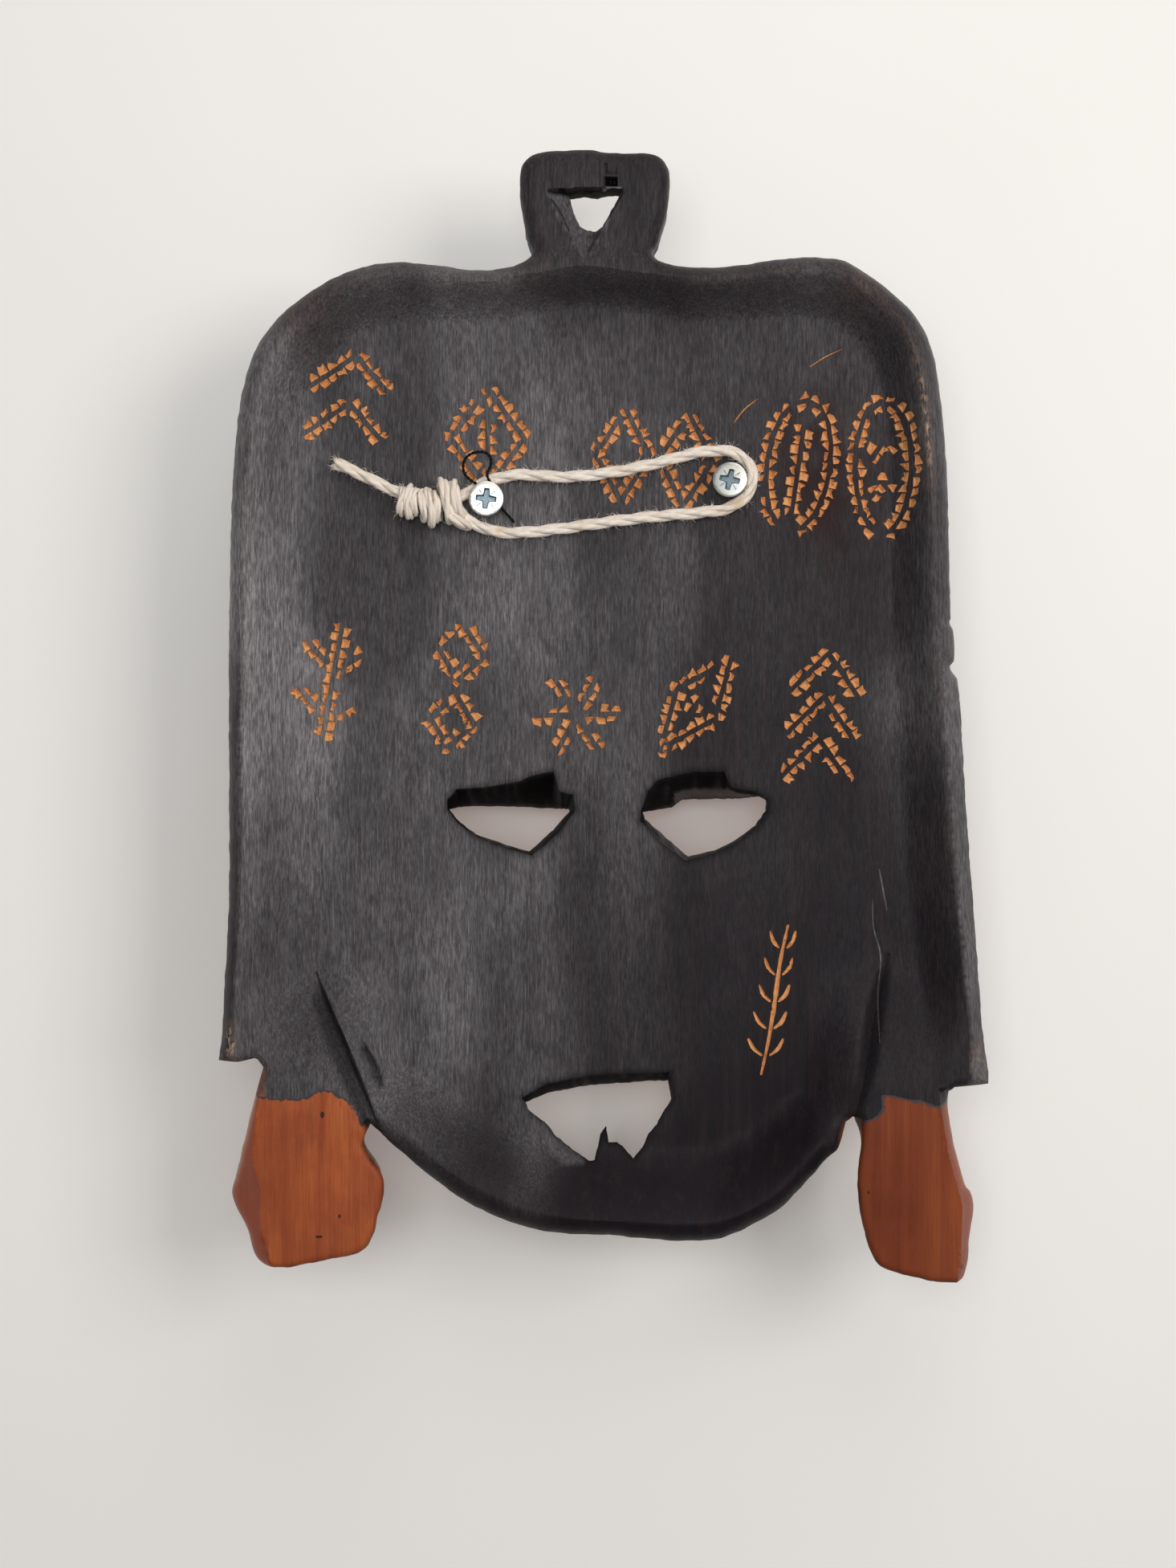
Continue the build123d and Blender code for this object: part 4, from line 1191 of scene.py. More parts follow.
def add_ply(work, uv, line, frames, offset, radius, phase, pitch, sides=12, closed=False):
    """One ply wound round a line: offset, radius and phase may vary along it."""
    rings, travelled = [], 0.0
    for i, (p, (_, n, b)) in enumerate(zip(line, frames)):
        if i:
            travelled += (p - line[i - 1]).length
        angle = phase + 2 * math.pi * travelled / pitch
        centre = p + (n * math.cos(angle) + b * math.sin(angle)) * offset(i)
        r = radius(i)
        ring = []
        for k in range(sides):
            a = angle + 2 * math.pi * k / sides
            ring.append(work.verts.new(centre + (n * math.cos(a) + b * math.sin(a)) * r))
        rings.append((ring, travelled))
    pairs = list(zip(rings, rings[1:]))
    if closed:
        pairs.append((rings[-1], (rings[0][0], travelled + (line[0] - line[-1]).length)))
    for (low, s0), (high, s1) in pairs:
        for k in range(sides):
            n = (k + 1) % sides
            face = work.faces.new((low[k], low[n], high[n], high[k]))
            face.smooth = True
            spots = ((k, s0), (k + 1, s0), (k + 1, s1), (k, s1))
            for loop, (around, s) in zip(face.loops, spots):
                loop[uv].uv = (around / sides, s / MM / UV_LENGTH)
    if not closed:
        work.faces.new(rings[0][0][::-1])
        work.faces.new(rings[-1][0])


def mesh_piece(name, work, material, slot, *nodes):
    """A piece from a finished bmesh."""
    bmesh.ops.recalc_face_normals(work, faces=work.faces)
    mesh = bpy.data.meshes.new(name)
    work.to_mesh(mesh)
    work.free()
    mesh.materials.append(material)
    obj = link(bpy.data.objects.new(name, mesh))
    return ride_as(obj, slot, *nodes)


def cotton_material():
    """Off-white cotton: slanting fibres along each ply, with a few stained patches."""
    m = Nodes("cotton_string")
    wave = m.add("ShaderNodeTexWave", wave_type="BANDS", bands_direction="DIAGONAL")
    m.feed(wave, Vector=(m.add("ShaderNodeUVMap"), "UV"), Scale=3.3, Distortion=2.2, Detail=3.0)
    m.feed(wave, Detail_Scale=3.0)
    fibres = (wave, "Fac")
    fuzz = m.noise((5.0, 5.0, 5.0))
    patches = m.noise((0.16, 0.16, 0.16), 3.0)
    stains = m.ramp(patches, ((0.35, (246, 236, 224)), (0.6, (240, 226, 210)), (0.75, (222, 196, 164))))
    height = m.math("ADD", m.math("MULTIPLY", fibres, 0.6), m.math("MULTIPLY", fuzz, 0.5))
    return m.painted(
        Base_Color=m.mix(m.math("MULTIPLY", fibres, 0.25), stains, (204, 182, 158)),
        Roughness=0.9,
        Specular_IOR_Level=0.15,
        Sheen_Weight=0.35,
        Sheen_Roughness=0.5,
        Normal=m.bump(height, 0.55, 0.00018),
    )


def thread_material():
    """Black cotton, a little paler on its twists."""
    m = Nodes("black_cotton")
    twist = m.noise((9.0, 9.0, 9.0), 3.0)
    return m.painted(
        Base_Color=m.ramp(twist, ((0.3, (8, 8, 9)), (0.7, (24, 22, 23)))),
        Roughness=0.8,
        Specular_IOR_Level=0.2,
        Normal=m.bump(twist, 0.5, 0.0001),
    )


COTTON = cotton_material()
cord_line = route_line("cord_line", CORD_PLACES)
cord_frames = frames_along(cord_line)
PLIES = 3
PLY_OFFSET = 0.215 * CORD_DIAMETER * MM
PLY_RADIUS = 0.292 * CORD_DIAMETER * MM
TWIST = 19.0 * MM
# how far from the cut end the plies stand apart, and how far from it they narrow
OPENED = 3.2 * MM
NARROWED = 0.9 * MM


def cord_mesh():
    """Three plies wound along the string, opening a little at its cut end."""
    work = bmesh.new()
    uv = work.loops.layers.uv.new("UVMap")
    count = len(cord_line)
    left = [0.0] * count
    for i in range(count - 2, -1, -1):
        left[i] = left[i + 1] + (cord_line[i + 1] - cord_line[i]).length
    for ply in range(PLIES):
        lift = 1.0 + 0.5 * ply

        def offset(i, lift=lift):
            open_end = max(0.0, 1.0 - left[i] / OPENED)
            return PLY_OFFSET * (1.0 + 0.55 * open_end * lift / 1.5)

        def radius(i, ply=ply):
            tip = min(1.0, (left[i] + 0.12 * MM) / NARROWED)
            swell = 1.0 + 0.05 * math.sin(i * 0.37 + 2.0 * ply)
            swell += 0.06 * max(0.0, 1.0 - left[i] / (4.0 * MM))
            return PLY_RADIUS * swell * math.sqrt(tip)

        phase = 2 * math.pi * ply / PLIES
        add_ply(work, uv, cord_line, cord_frames, offset, radius, phase, TWIST)
    return work


string = mesh_piece("hanging_string", cord_mesh(), COTTON, "cotton_string", "hanging_cord")

# each wrap of the knot: top and bottom (across, up) on the side that shows, bulge, thickness
WRAPS = [
    ((-40.3, -60.7), (-40.7, -67.0), 2.5, 1.65),
    ((-39.0, -60.2), (-39.2, -67.7), 2.8, 1.7),
    ((-37.6, -61.0), (-38.0, -66.9), 2.6, 1.6),
    ((-36.4, -61.3), (-35.7, -68.3), 2.8, 1.65),
    ((-35.1, -60.9), (-34.1, -69.3), 3.1, 1.7),
    ((-33.8, -61.6), (-32.8, -68.3), 2.9, 1.6),
    ((-32.5, -58.9), (-29.9, -68.8), 3.1, 2.3),
    ((-30.4, -59.3), (-27.9, -67.6), 3.2, 2.3),
    ((-31.6, -66.4), (-26.4, -69.3), 2.6, 2.1),
]
WRAP_POINTS = 40
# depth of the middle of the knot
KNOT_DEPTH = 4.0


def knot_mesh():
    """Each wrap of the knot as a closed loop of three plies."""
    work = bmesh.new()
    uv = work.loops.layers.uv.new("UVMap")
    for number, (top, bottom, bulge, thick) in enumerate(WRAPS):
        top, bottom = np.array(top), np.array(bottom)
        middle, half = (top + bottom) / 2, (top - bottom) / 2
        length = np.linalg.norm(half)
        half = half * (length - thick * 0.42) / length
        line = []
        for k in range(WRAP_POINTS):
            a = 2 * math.pi * k / WRAP_POINTS
            flat = middle + half * math.cos(a)
            sway = 0.25 * math.sin(a * 2 + number)
            line.append(place(flat[0] + sway, flat[1], KNOT_DEPTH - bulge * math.sin(a) * 0.82))
        frames = frames_along(line, True)
        around = sum((b - a).length for a, b in zip(line, line[1:] + line[:1]))
        pitch = around / max(1, round(around / TWIST))
        size = thick * MM
        for ply in range(PLIES):
            phase = 2 * math.pi * ply / PLIES + number
            add_ply(
                work, uv, line, frames, lambda i: 0.25 * size, lambda i: 0.27 * size, phase, pitch, 10, True
            )
    return work


knot = mesh_piece("string_knot", knot_mesh(), COTTON, "cotton_string", "cord_knot")


# fibres drawn along the string, at its cut tail and on the knot, where the ones past a depth are left out
FIBRES, TAIL_FIBRES, KNOT_FIBRES = 900, 60, 260
FUZZ_DEPTH = 4.0
# radius at the root, the middle and the tip of a fibre, and the angles of its three corners
FIBRE_RADII = (0.028, 0.022, 0.009)
FIBRE_CORNERS = (0.0, 2.09, 4.19)


def fuzz_mesh():
    """Short fibres that stand off the string and its knot."""
    work = bmesh.new()
    pick = random.Random(4)

    def fibre(root, away, along):
        length = pick.uniform(0.5, 1.7) * MM
        bend = Vector((pick.uniform(-1, 1), pick.uniform(-1, 1), pick.uniform(-1, 1))) * 0.5
        lean = along * pick.choice((-1, 1)) * pick.uniform(0.4, 1.3)
        start = (away + lean).normalized()
        spots = [root, root + start * length * 0.5, root + (start + bend).normalized() * length]
        rings = []
        side = start.orthogonal().normalized()
        other = start.cross(side)
        for spot, radius in zip(spots, FIBRE_RADII):
            corners = [(side * math.cos(a) + other * math.sin(a)) * radius * MM for a in FIBRE_CORNERS]
            rings.append([work.verts.new(spot + corner) for corner in corners])
        for low, high in zip(rings, rings[1:]):
            for k in range(3):
                work.faces.new((low[k], low[(k + 1) % 3], high[(k + 1) % 3], high[k]))
        work.faces.new(rings[0][::-1])
        work.faces.new(rings[-1])

    def outwards(i):
        """The tangent at a point of the string, and a direction straight away from it."""
        t, n, b = cord_frames[i]
        angle = pick.uniform(0, 2 * math.pi)
        return t, n * math.cos(angle) + b * math.sin(angle)

    for _ in range(FIBRES):
        i = pick.randrange(1, len(cord_line) - 1)
        t, away = outwards(i)
        fibre(cord_line[i] + away * 1.12 * MM, away, t)
    for _ in range(TAIL_FIBRES):
        t, away = outwards(-1)
        fibre(cord_line[-1] - t * pick.uniform(0.2, 1.5) * MM + away * 1.0 * MM, away * 0.5 + t, t)
    for vertex in pick.sample(list(knot.data.vertices), KNOT_FIBRES):
        if vertex.co.y >= -FUZZ_DEPTH * MM:
            fibre(vertex.co.copy(), vertex.normal.copy(), Vector((1, 0, 0)))
    return work


fuzz = mesh_piece("string_fuzz", fuzz_mesh(), COTTON, "cotton_string")

thread_line = route_line("thread_line", THREAD_PLACES)
THREAD_TWIST = 1.8 * MM


def thread_mesh():
    """Two plies wound along the thread."""
    work = bmesh.new()
    uv = work.loops.layers.uv.new("UVMap")
    frames = frames_along(thread_line)
    size = THREAD_DIAMETER * MM
    for ply in range(2):
        phase = math.pi * ply
        offset, radius = 0.26 * size, 0.48 * size
        add_ply(work, uv, thread_line, frames, lambda i: offset, lambda i: radius, phase, THREAD_TWIST, 8)
    return work


thread = mesh_piece("black_thread_line", thread_mesh(), thread_material(), "black_cotton", "black_thread")


# ---- screws --------------------------------------------------------------------------------
def zinc_material():
    """Zinc plating with a faint tint in patches."""
    m = Nodes("zinc_steel")
    fine = m.noise((3.0, 3.0, 3.0))
    broad = m.noise((0.35, 0.35, 0.35), 3.0)
    return m.painted(
        Base_Color=m.ramp(broad, ((0.3, (206, 211, 214)), (0.5, (222, 222, 216)), (0.72, (226, 219, 200)))),
        Metallic=1.0,
        Roughness=m.ramp(fine, ((0.3, 0.30), (0.7, 0.44))),
        Normal=m.bump(fine, 0.18, 0.00006),
    )


def recess_shade_material():
    """Duller, bluish zinc down in the cross recess, darker as painted shade."""
    m = Nodes("zinc_recess_shade")
    fine = m.noise((4.0, 4.0, 4.0))
    return m.painted(
        Base_Color=m.ramp(fine, ((0.3, (108, 126, 138)), (0.7, (160, 176, 184)))),
        Metallic=0.85,
        Roughness=0.5,
        Normal=m.bump(fine, 0.3, 0.00008),
    )


ZINC, RECESS_SHADE_ZINC = zinc_material(), recess_shade_material()
HEAD_RADIUS = 3.6
SCREW_SIDES = 72
# the cross recess at its mouth and at its bed: reach of a wing, half its width, cut of the inner corners
CROSS_MOUTH = (2.12, 0.68, 0.22)
CROSS_BED = (1.8, 0.46, 0.16)
CROSS_DEPTH = 1.0
# radius and z from the rim of the head down to the shank, and down the point
HEAD_PROFILE = [
    (HEAD_RADIUS * 0.99, -0.16), (HEAD_RADIUS, -0.3), (HEAD_RADIUS * 0.985, -0.45), (3.0, -1.0),
    (2.3, -1.75), (1.75, -2.3), (1.6, -2.5),
]
POINT_PROFILE = [(0.9, -14.8), (0.12, -16.0)]
# z of the shank's rings, its radius between the threads, and the height and pitch of the helix
SHANK = np.arange(-2.7, -14.2, -0.14)
CORE_RADIUS = 1.2
THREAD_HEIGHT = 0.52
THREAD_PITCH = 1.4


def cross_ring(reach, half, corner):
    """The outline of the cross recess, its inner corners cut off."""
    wing = [
        (reach, -half * 0.8), (reach + 0.06, 0.0), (reach, half * 0.8), (half + corner, half),
        (half, half + corner),
    ]
    ring = []
    for quarter in range(4):
        a = quarter * math.pi / 2
        ring += [(x * math.cos(a) - y * math.sin(a), x * math.sin(a) + y * math.cos(a)) for x, y in wing]
    return np.array(ring)


def tick(turn):
    """The rim, keel and depth of a scored mark between two wings of the recess."""
    a = math.radians(turn)
    out, side = np.array((math.cos(a), math.sin(a))), np.array((-math.sin(a), math.cos(a)))
    places = ((1.25, -0.07), (2.5, -0.1), (2.6, 0.0), (2.5, 0.1), (1.25, 0.07))
    return np.array([out * x + side * y for x, y in places]), np.array([out * 1.9]), 0.09


def shank_radius(z, turn):
    """The radius at a height and a share of a turn, with the helix growing out of the shank."""
    crest = max(0.0, 1.0 - abs((z / THREAD_PITCH - turn) % 1.0 - 0.5) / 0.3)
    return CORE_RADIUS + THREAD_HEIGHT * crest * min(1.0, (-z - 2.4) / 0.6)


def screw_mesh():
    """A countersunk screw along its own z, the middle of its head at the origin."""
    turns = np.linspace(0, 2 * math.pi, SCREW_SIDES + 1)[:-1]
    rim = HEAD_RADIUS * 0.955
    circle = np.array([(rim * math.cos(a), rim * math.sin(a)) for a in turns])
    mouth, bed = cross_ring(*CROSS_MOUTH), cross_ring(*CROSS_BED)
    creases = [np.vstack((ring, ring[:1])) for ring in (mouth, bed)]
    ticks = [tick(45 + 90 * k) for k in range(4)]
    flat, tris, rings, sunk, _ = fill([circle], ticks, creases, 0.45, ())
    far = np.hypot(flat[:, 0], flat[:, 1])
    in_bed = inside(flat, bed * 1.001)
    in_mouth = inside(flat, mouth * 0.999)
    to_mouth, to_bed = gap_to(flat, mouth, True), gap_to(flat, bed, True)
    slope = np.where(in_mouth, to_mouth / np.maximum(to_mouth + to_bed, 1e-6), 0.0)
    share = np.where(in_bed, 1.0, slope)
    height = -0.10 * (far / HEAD_RADIUS) ** 4 - sunk - CROSS_DEPTH * share
    work = bmesh.new()
    verts = [work.verts.new((x * MM, y * MM, z * MM)) for (x, y), z in zip(flat, height)]
    deep = (share > 0.001) & (in_mouth | in_bed)
    # faces in the recess and in the scored ticks take the darker recess zinc: painted shade
    for t in tris:
        face = work.faces.new([verts[i] for i in t])
        face.smooth = True
        face.material_index = int(deep[t].any() or sunk[t].any())
    low = [verts[i] for i in rings[0]]
    for radius, z in HEAD_PROFILE + [(None, z) for z in SHANK] + POINT_PROFILE:
        ring = []
        for k in range(SCREW_SIDES):
            a = 2 * math.pi * k / SCREW_SIDES
            r = shank_radius(z, k / SCREW_SIDES) if radius is None else radius
            ring.append(work.verts.new((r * math.cos(a) * MM, r * math.sin(a) * MM, z * MM)))
        for k in range(SCREW_SIDES):
            n = (k + 1) % SCREW_SIDES
            work.faces.new((low[k], ring[k], ring[n], low[n])).smooth = True
        low = ring
    work.faces.new(low)
    return work


# how deep the middle of each head lies
HEAD_DEPTH = 2.5


def screw_piece(name, node, at, lean, turn):
    """A screw whose head leans to the left, seen from behind, and whose recess is turned."""
    work = screw_mesh()
    out = Vector((math.sin(math.radians(lean)), math.cos(math.radians(lean)), 0.0))
    right = Vector((-out.y, out.x, 0.0))
    up = out.cross(right)
    matrix = Matrix((right, up, out)).transposed().to_4x4()
    matrix.translation = place(*at, HEAD_DEPTH)
    matrix = matrix @ Matrix.Rotation(math.radians(turn), 4, "Z")
    bmesh.ops.transform(work, matrix=matrix, verts=work.verts)
    obj = mesh_piece(name, work, ZINC, "zinc_steel", node)
    obj.data.materials.append(RECESS_SHADE_ZINC)
    obj.data.set_sharp_from_angle(angle=math.radians(28))
    return obj


screw_piece("left_hanger_screw", "left_screw", (-23.1, -63.4), 0.0, -6.0)
screw_piece("right_hanger_screw", "right_screw", (27.1, -59.5), 14.0, -13.0)


# ---- wood materials --------------------------------------------------------------------------
def stained_material():
    """Dark stain rubbed into wood: rubbed brown at the edges with a painted highlight on the upper right
    crest, dust with a painted sheen, pigment and painted shade in the low places, and fine upright grain.
    """
    m = Nodes("stained_wood")
    fine = m.noise((3.4, 3.4, 0.42), 4.0, 0.65)
    grain = m.noise((1.7, 1.7, 0.10), 5.0, 0.6)
    streak = m.noise((0.5, 0.5, 0.022), 4.0, 0.55, 0.3)
    blotch = m.noise((0.10, 0.10, 0.05), 5.0, 0.65)
    mottle = m.noise((0.55, 0.55, 0.28), 6.0, 0.65)
    speck = m.noise((1.3, 1.3, 0.6), 5.0, 0.65)
    hair = m.noise((2.8, 2.8, 0.11), 3.0, 0.6)
    dust_and_sheen, wear_and_highlight, bare, smear, shade = map(m.attribute, ("dust_and_sheen", "wear_and_highlight", "bare", "smear", "shade"))

    dark = m.mix(blotch, (12, 8, 13), (28, 20, 27))
    dark = m.mix(m.ramp(streak, ((0.52, 0.0), (0.7, 0.4))), dark, (46, 31, 29))
    # how far the dust is rubbed in, which also breaks up the painted sheen
    rubbed = m.ramp(fine, ((0.44, 0.0), (0.64, 0.7)))
    rubbed = m.math("ADD", rubbed, m.ramp(grain, ((0.42, 0.0), (0.68, 0.3))))
    rubbed = m.math("ADD", rubbed, m.ramp(mottle, ((0.38, 0.0), (0.64, 0.26))))
    rubbed = m.math("MULTIPLY", rubbed, m.ramp(blotch, ((0.32, 0.55), (0.62, 1.0))))
    rubbed = m.math("ADD", rubbed, m.ramp(hair, ((0.60, 0.0), (0.72, 0.55))))
    # dust and a painted sheen lighten the stain where their share is high
    dust_and_sheen_mix = m.math("MULTIPLY", dust_and_sheen, m.math("MULTIPLY_ADD", rubbed, 0.75, 0.22))
    colour = m.mix(dust_and_sheen_mix, dark, (152, 148, 150))
    colour = m.mix(m.math("MULTIPLY", smear, 0.8), colour, (40, 17, 16))
    # near black where the shade share is high: pigment in the gouges, painted shade on the walls, under the
    # lip and in the slot
    colour = m.mix(shade, colour, (11, 9, 11))
    # rubbed brown at the edges, pale where the share is highest: a painted highlight along the upper right
    # crest
    worn_and_highlight = m.math("MULTIPLY", wear_and_highlight, m.ramp(speck, ((0.44, 0.0), (0.60, 1.0))))
    colour = m.mix(worn_and_highlight, colour, m.ramp(wear_and_highlight, ((0.3, (118, 88, 68)), (1.0, (196, 170, 144)))))
    warm = m.ramp(streak, ((0.3, (106, 56, 35)), (0.5, (133, 74, 45)), (0.75, (150, 90, 56))))
    height = m.math("ADD", m.math("MULTIPLY", fine, 0.4), m.math("MULTIPLY", grain, 0.7))
    return m.painted(
        Base_Color=m.mix(bare, colour, warm),
        Roughness=m.mix(shade, m.ramp(speck, ((0.3, 0.42), (0.7, 0.58))), grey(0.9)),
        Specular_IOR_Level=0.22,
        IOR=1.35,
        Normal=m.bump(height, 0.6, 0.00016, Normal=m.bump(m.noise((0.35, 0.35, 0.05)), 0.3, 0.0006)),
    )


# small dark knots on the bare pendants: across, up, half width, half height
KNOTS = [
    (-56.5, -190.0, 0.5, 0.8), (-53.0, -210.8, 0.3, 0.5), (-57.2, -215.0, 0.9, 0.35),
    (55.4, -205.9, 0.3, 0.4), (74.9, -221.6, 0.5, 0.5),
]


def bare_material():
    """Oiled reddish-brown wood with upright grain and short dark pores."""
    m = Nodes("bare_wood")
    grain = m.noise((2.6, 2.6, 0.09), 6.0, 0.62)
    rings = m.noise((0.3, 0.3, 0.012), 3.0, 0.5, 0.5)
    broad = m.noise((0.10, 0.10, 0.07), 4.0, 0.6)
    pores = m.noise((3.6, 3.6, 0.35), 3.0, 0.7)
    ragged = m.noise((1.1, 1.1, 0.7), 4.0, 0.7)
    tone, edge_darkening, bevel, pale, stain = map(m.attribute, ("tone", "edge_darkening", "bevel", "pale", "stain"))

    light = m.ramp(rings, ((0.3, (154, 74, 40)), (0.5, (172, 88, 48)), (0.72, (188, 104, 58))))
    deep = m.ramp(rings, ((0.3, (90, 38, 20)), (0.5, (110, 50, 26)), (0.72, (130, 66, 36))))
    colour = m.mix(tone, light, deep)
    colour = m.mix(m.ramp(broad, ((0.42, 0.0), (0.64, 0.55))), colour, (130, 60, 40))
    colour = m.mix(m.ramp(grain, ((0.42, 0.0), (0.68, 0.35))), colour, (98, 46, 30))
    colour = m.mix(bevel, colour, (152, 62, 26))
    colour = m.mix(pale, colour, (196, 142, 100))
    colour = m.mix(m.ramp(pores, ((0.66, 0.0), (0.74, 0.7))), colour, (50, 24, 18))
    for spot in KNOTS:
        colour = m.mix(m.spot(*spot), colour, (62, 36, 34))
    # darker along the outline and down the side walls
    colour = m.mix(edge_darkening, colour, (40, 24, 20))
    # the stain ends in a ragged line
    soaked = m.math("MULTIPLY_ADD", ragged, 0.8, m.math("MULTIPLY", stain, 0.6))
    soaked = m.ramp(soaked, ((0.80, 0.0), (0.83, 1.0)))
    height = m.math("SUBTRACT", grain, m.math("MULTIPLY", pores, 0.5))
    return m.painted(
        Base_Color=m.mix(soaked, colour, (66, 60, 62)),
        Roughness=m.mix(bevel, m.ramp(grain, ((0.3, 0.38), (0.7, 0.54))), grey(0.28)),
        Specular_IOR_Level=0.22,
        IOR=1.33,
        Normal=m.bump(height, 0.3, 0.00014),
    )


def cut_material():
    """Fresh pale wood inside a knife cut, darker at its rim as painted shade."""
    m = Nodes("cut_wood")
    fibre = m.noise((2.8, 2.8, 0.5), 5.0, 0.65)
    patch = m.noise((0.3, 0.3, 0.3), 3.0)
    dots = m.noise((2.2, 2.2, 1.6), 3.0, 0.6)
    colour = m.ramp(fibre, ((0.28, (190, 124, 74)), (0.5, (226, 160, 102)), (0.75, (242, 186, 130))))
    colour = m.mix(m.ramp(patch, ((0.45, 0.0), (0.7, 0.6))), colour, (182, 118, 72))
    colour = m.mix(m.ramp(dots, ((0.60, 0.0), (0.68, 0.7))), colour, (84, 46, 28))
    return m.painted(
        # painted shade: the cut darkens towards its rim and stays pale down at its keel
        Base_Color=m.mix(m.ramp(m.attribute("keel"), ((0.04, 0.85), (0.2, 0.0))), colour, (44, 26, 20)),
        Roughness=0.85,
        Specular_IOR_Level=0.2,
        Normal=m.bump(fibre, 0.7, 0.00025),
    )


STAINED, BARE, CUT = stained_material(), bare_material(), cut_material()


# ---- wood ------------------------------------------------------------------------------------
# how much dust, rubbed in, and painted sheen the stain has round some places, most on the left and least on
# the right and the chin: across, up, share
DUST_AND_SHEEN = [
    (-67.0, -60.0, 0.80), (-67.0, -110.0, 0.95), (-64.0, -140.0, 0.52), (-70.0, -162.0, 0.36),
    (-60.0, -175.0, 0.46), (-50.0, -30.0, 0.34), (-52.0, -76.0, 0.34), (-45.0, -130.0, 0.42),
    (-20.0, -28.0, 0.52), (-18.0, -75.0, 0.60), (-22.0, -110.0, 0.54), (-20.0, -145.0, 0.48),
    (-32.0, -178.0, 0.56), (-12.0, -178.0, 0.40), (5.0, -35.0, 0.42), (6.0, -76.0, 0.32),
    (0.0, -125.0, 0.36), (0.0, -145.0, 0.24), (6.0, -165.0, 0.13), (30.0, -40.0, 0.22),
    (35.0, -76.0, 0.13), (30.0, -125.0, 0.10), (25.0, -160.0, 0.05), (53.0, -28.0, 0.26),
    (60.0, -80.0, 0.12), (60.0, -140.0, 0.05), (60.0, -175.0, 0.06), (30.0, -200.0, 0.01),
    (0.0, -206.0, 0.01), (-28.0, -202.0, 0.06), (0.0, 5.0, 0.14), (-14.0, -4.0, 0.14), (13.0, -8.0, 0.14),
    (0.0, -14.0, 0.18), (71.0, -95.0, 0.42), (70.0, -60.0, 0.34), (69.5, -128.0, 0.17),
    (71.0, -158.0, 0.09),
]
# pigment in the gouges: line, reach to its left and to its right, share
GOUGE_SHADES = ((LEFT_GOUGE, 3.2, 1.0, 0.62), (LEFT_NICK, 0.9, 0.4, 0.7), (RIGHT_GROOVE, 2.0, 2.0, 0.5))
# rubbed through to the wood: across, up, half width, half height, share
WORN = [
    (-75.6, -174.8, 1.4, 3.6, 1.2), (78.4, -178.6, 1.6, 3.8, 0.6), (-62.0, -24.0, 7.0, 7.0, 0.32),
    (55.0, -18.0, 6.0, 6.0, 0.32),
]


def dust_and_sheen_share(across, up):
    """How much dust and painted sheen the stain has, read between the places in DUST_AND_SHEEN."""
    total, weight = np.zeros(len(across)), np.full(len(across), 1e-9)
    for x, y, value in DUST_AND_SHEEN:
        near = hill(across, up, x, y, 8.0, 16.0)
        total, weight = total + near * value, weight + near
    return np.clip(total / weight * (1.0 + 0.30 * wander(across, up, 9.0, 30.0, 21)), 0.0, 1.0)


def wear_and_highlight_share(across, up, crest, back):
    """How far the crest and the places in WORN are rubbed through, with a painted highlight along the crest
    on the upper right, where the share is highest.
    """
    wear_and_highlight = 0.22 * bell(crest, 1.5) * (0.4 + 0.6 * wander(across, up, 7.0, 16.0, 22))
    wear_and_highlight *= ease(up, -190.0, -120.0)
    # a painted highlight along the crest on the upper right
    wear_and_highlight += 0.9 * bell(crest, 0.8) * bell(up + 47.0, 15.0) * (across > 50)
    for x, y, wide, high, most in WORN:
        wear_and_highlight += most * hill(across, up, x, y, wide, high)
    return np.clip(wear_and_highlight, 0.0, 1.0) * np.where(back, 1.0, 0.35)


def bare_share(points, shares, edge):
    """Wood left bare: the face and ears less the rims of the openings, and two edges by the pendants."""
    across, up = points[:, 0], points[:, 1]
    cx, cy, half_x, half_y = FACE
    r2 = ((across - cx) / half_x) ** 2 + ((up - cy) / half_y) ** 2
    ears = np.maximum(*(bump_at(across, up, (cx + s * EAR_REACH, -146.0), (8.6, 31.0)) for s in (-1, 1)))
    face = np.maximum(ease(1.0 - r2, -0.01, 0.02) * (up < -75.5), ears > 0)
    bare = np.where((shares > 0.99) | ((shares > 0.6) & (edge < 1.0)), face, 0.0)
    bare = np.maximum(bare, hill(across, up, 51.0, -195.0, 1.6, 3.0) * (edge < 1.2))
    strip = bell(edge, 0.9) * (across < -68.0) * ease(-up, 180.6, 181.4)
    bare = np.maximum(bare, strip * (shares < 0.9))
    for _, opening in OPENINGS:
        rim = (shares > 0.6) & (gap_to(points[:, :2], opening, True) < 0.6)
        bare = np.where(rim, 0.0, bare)
    return bare


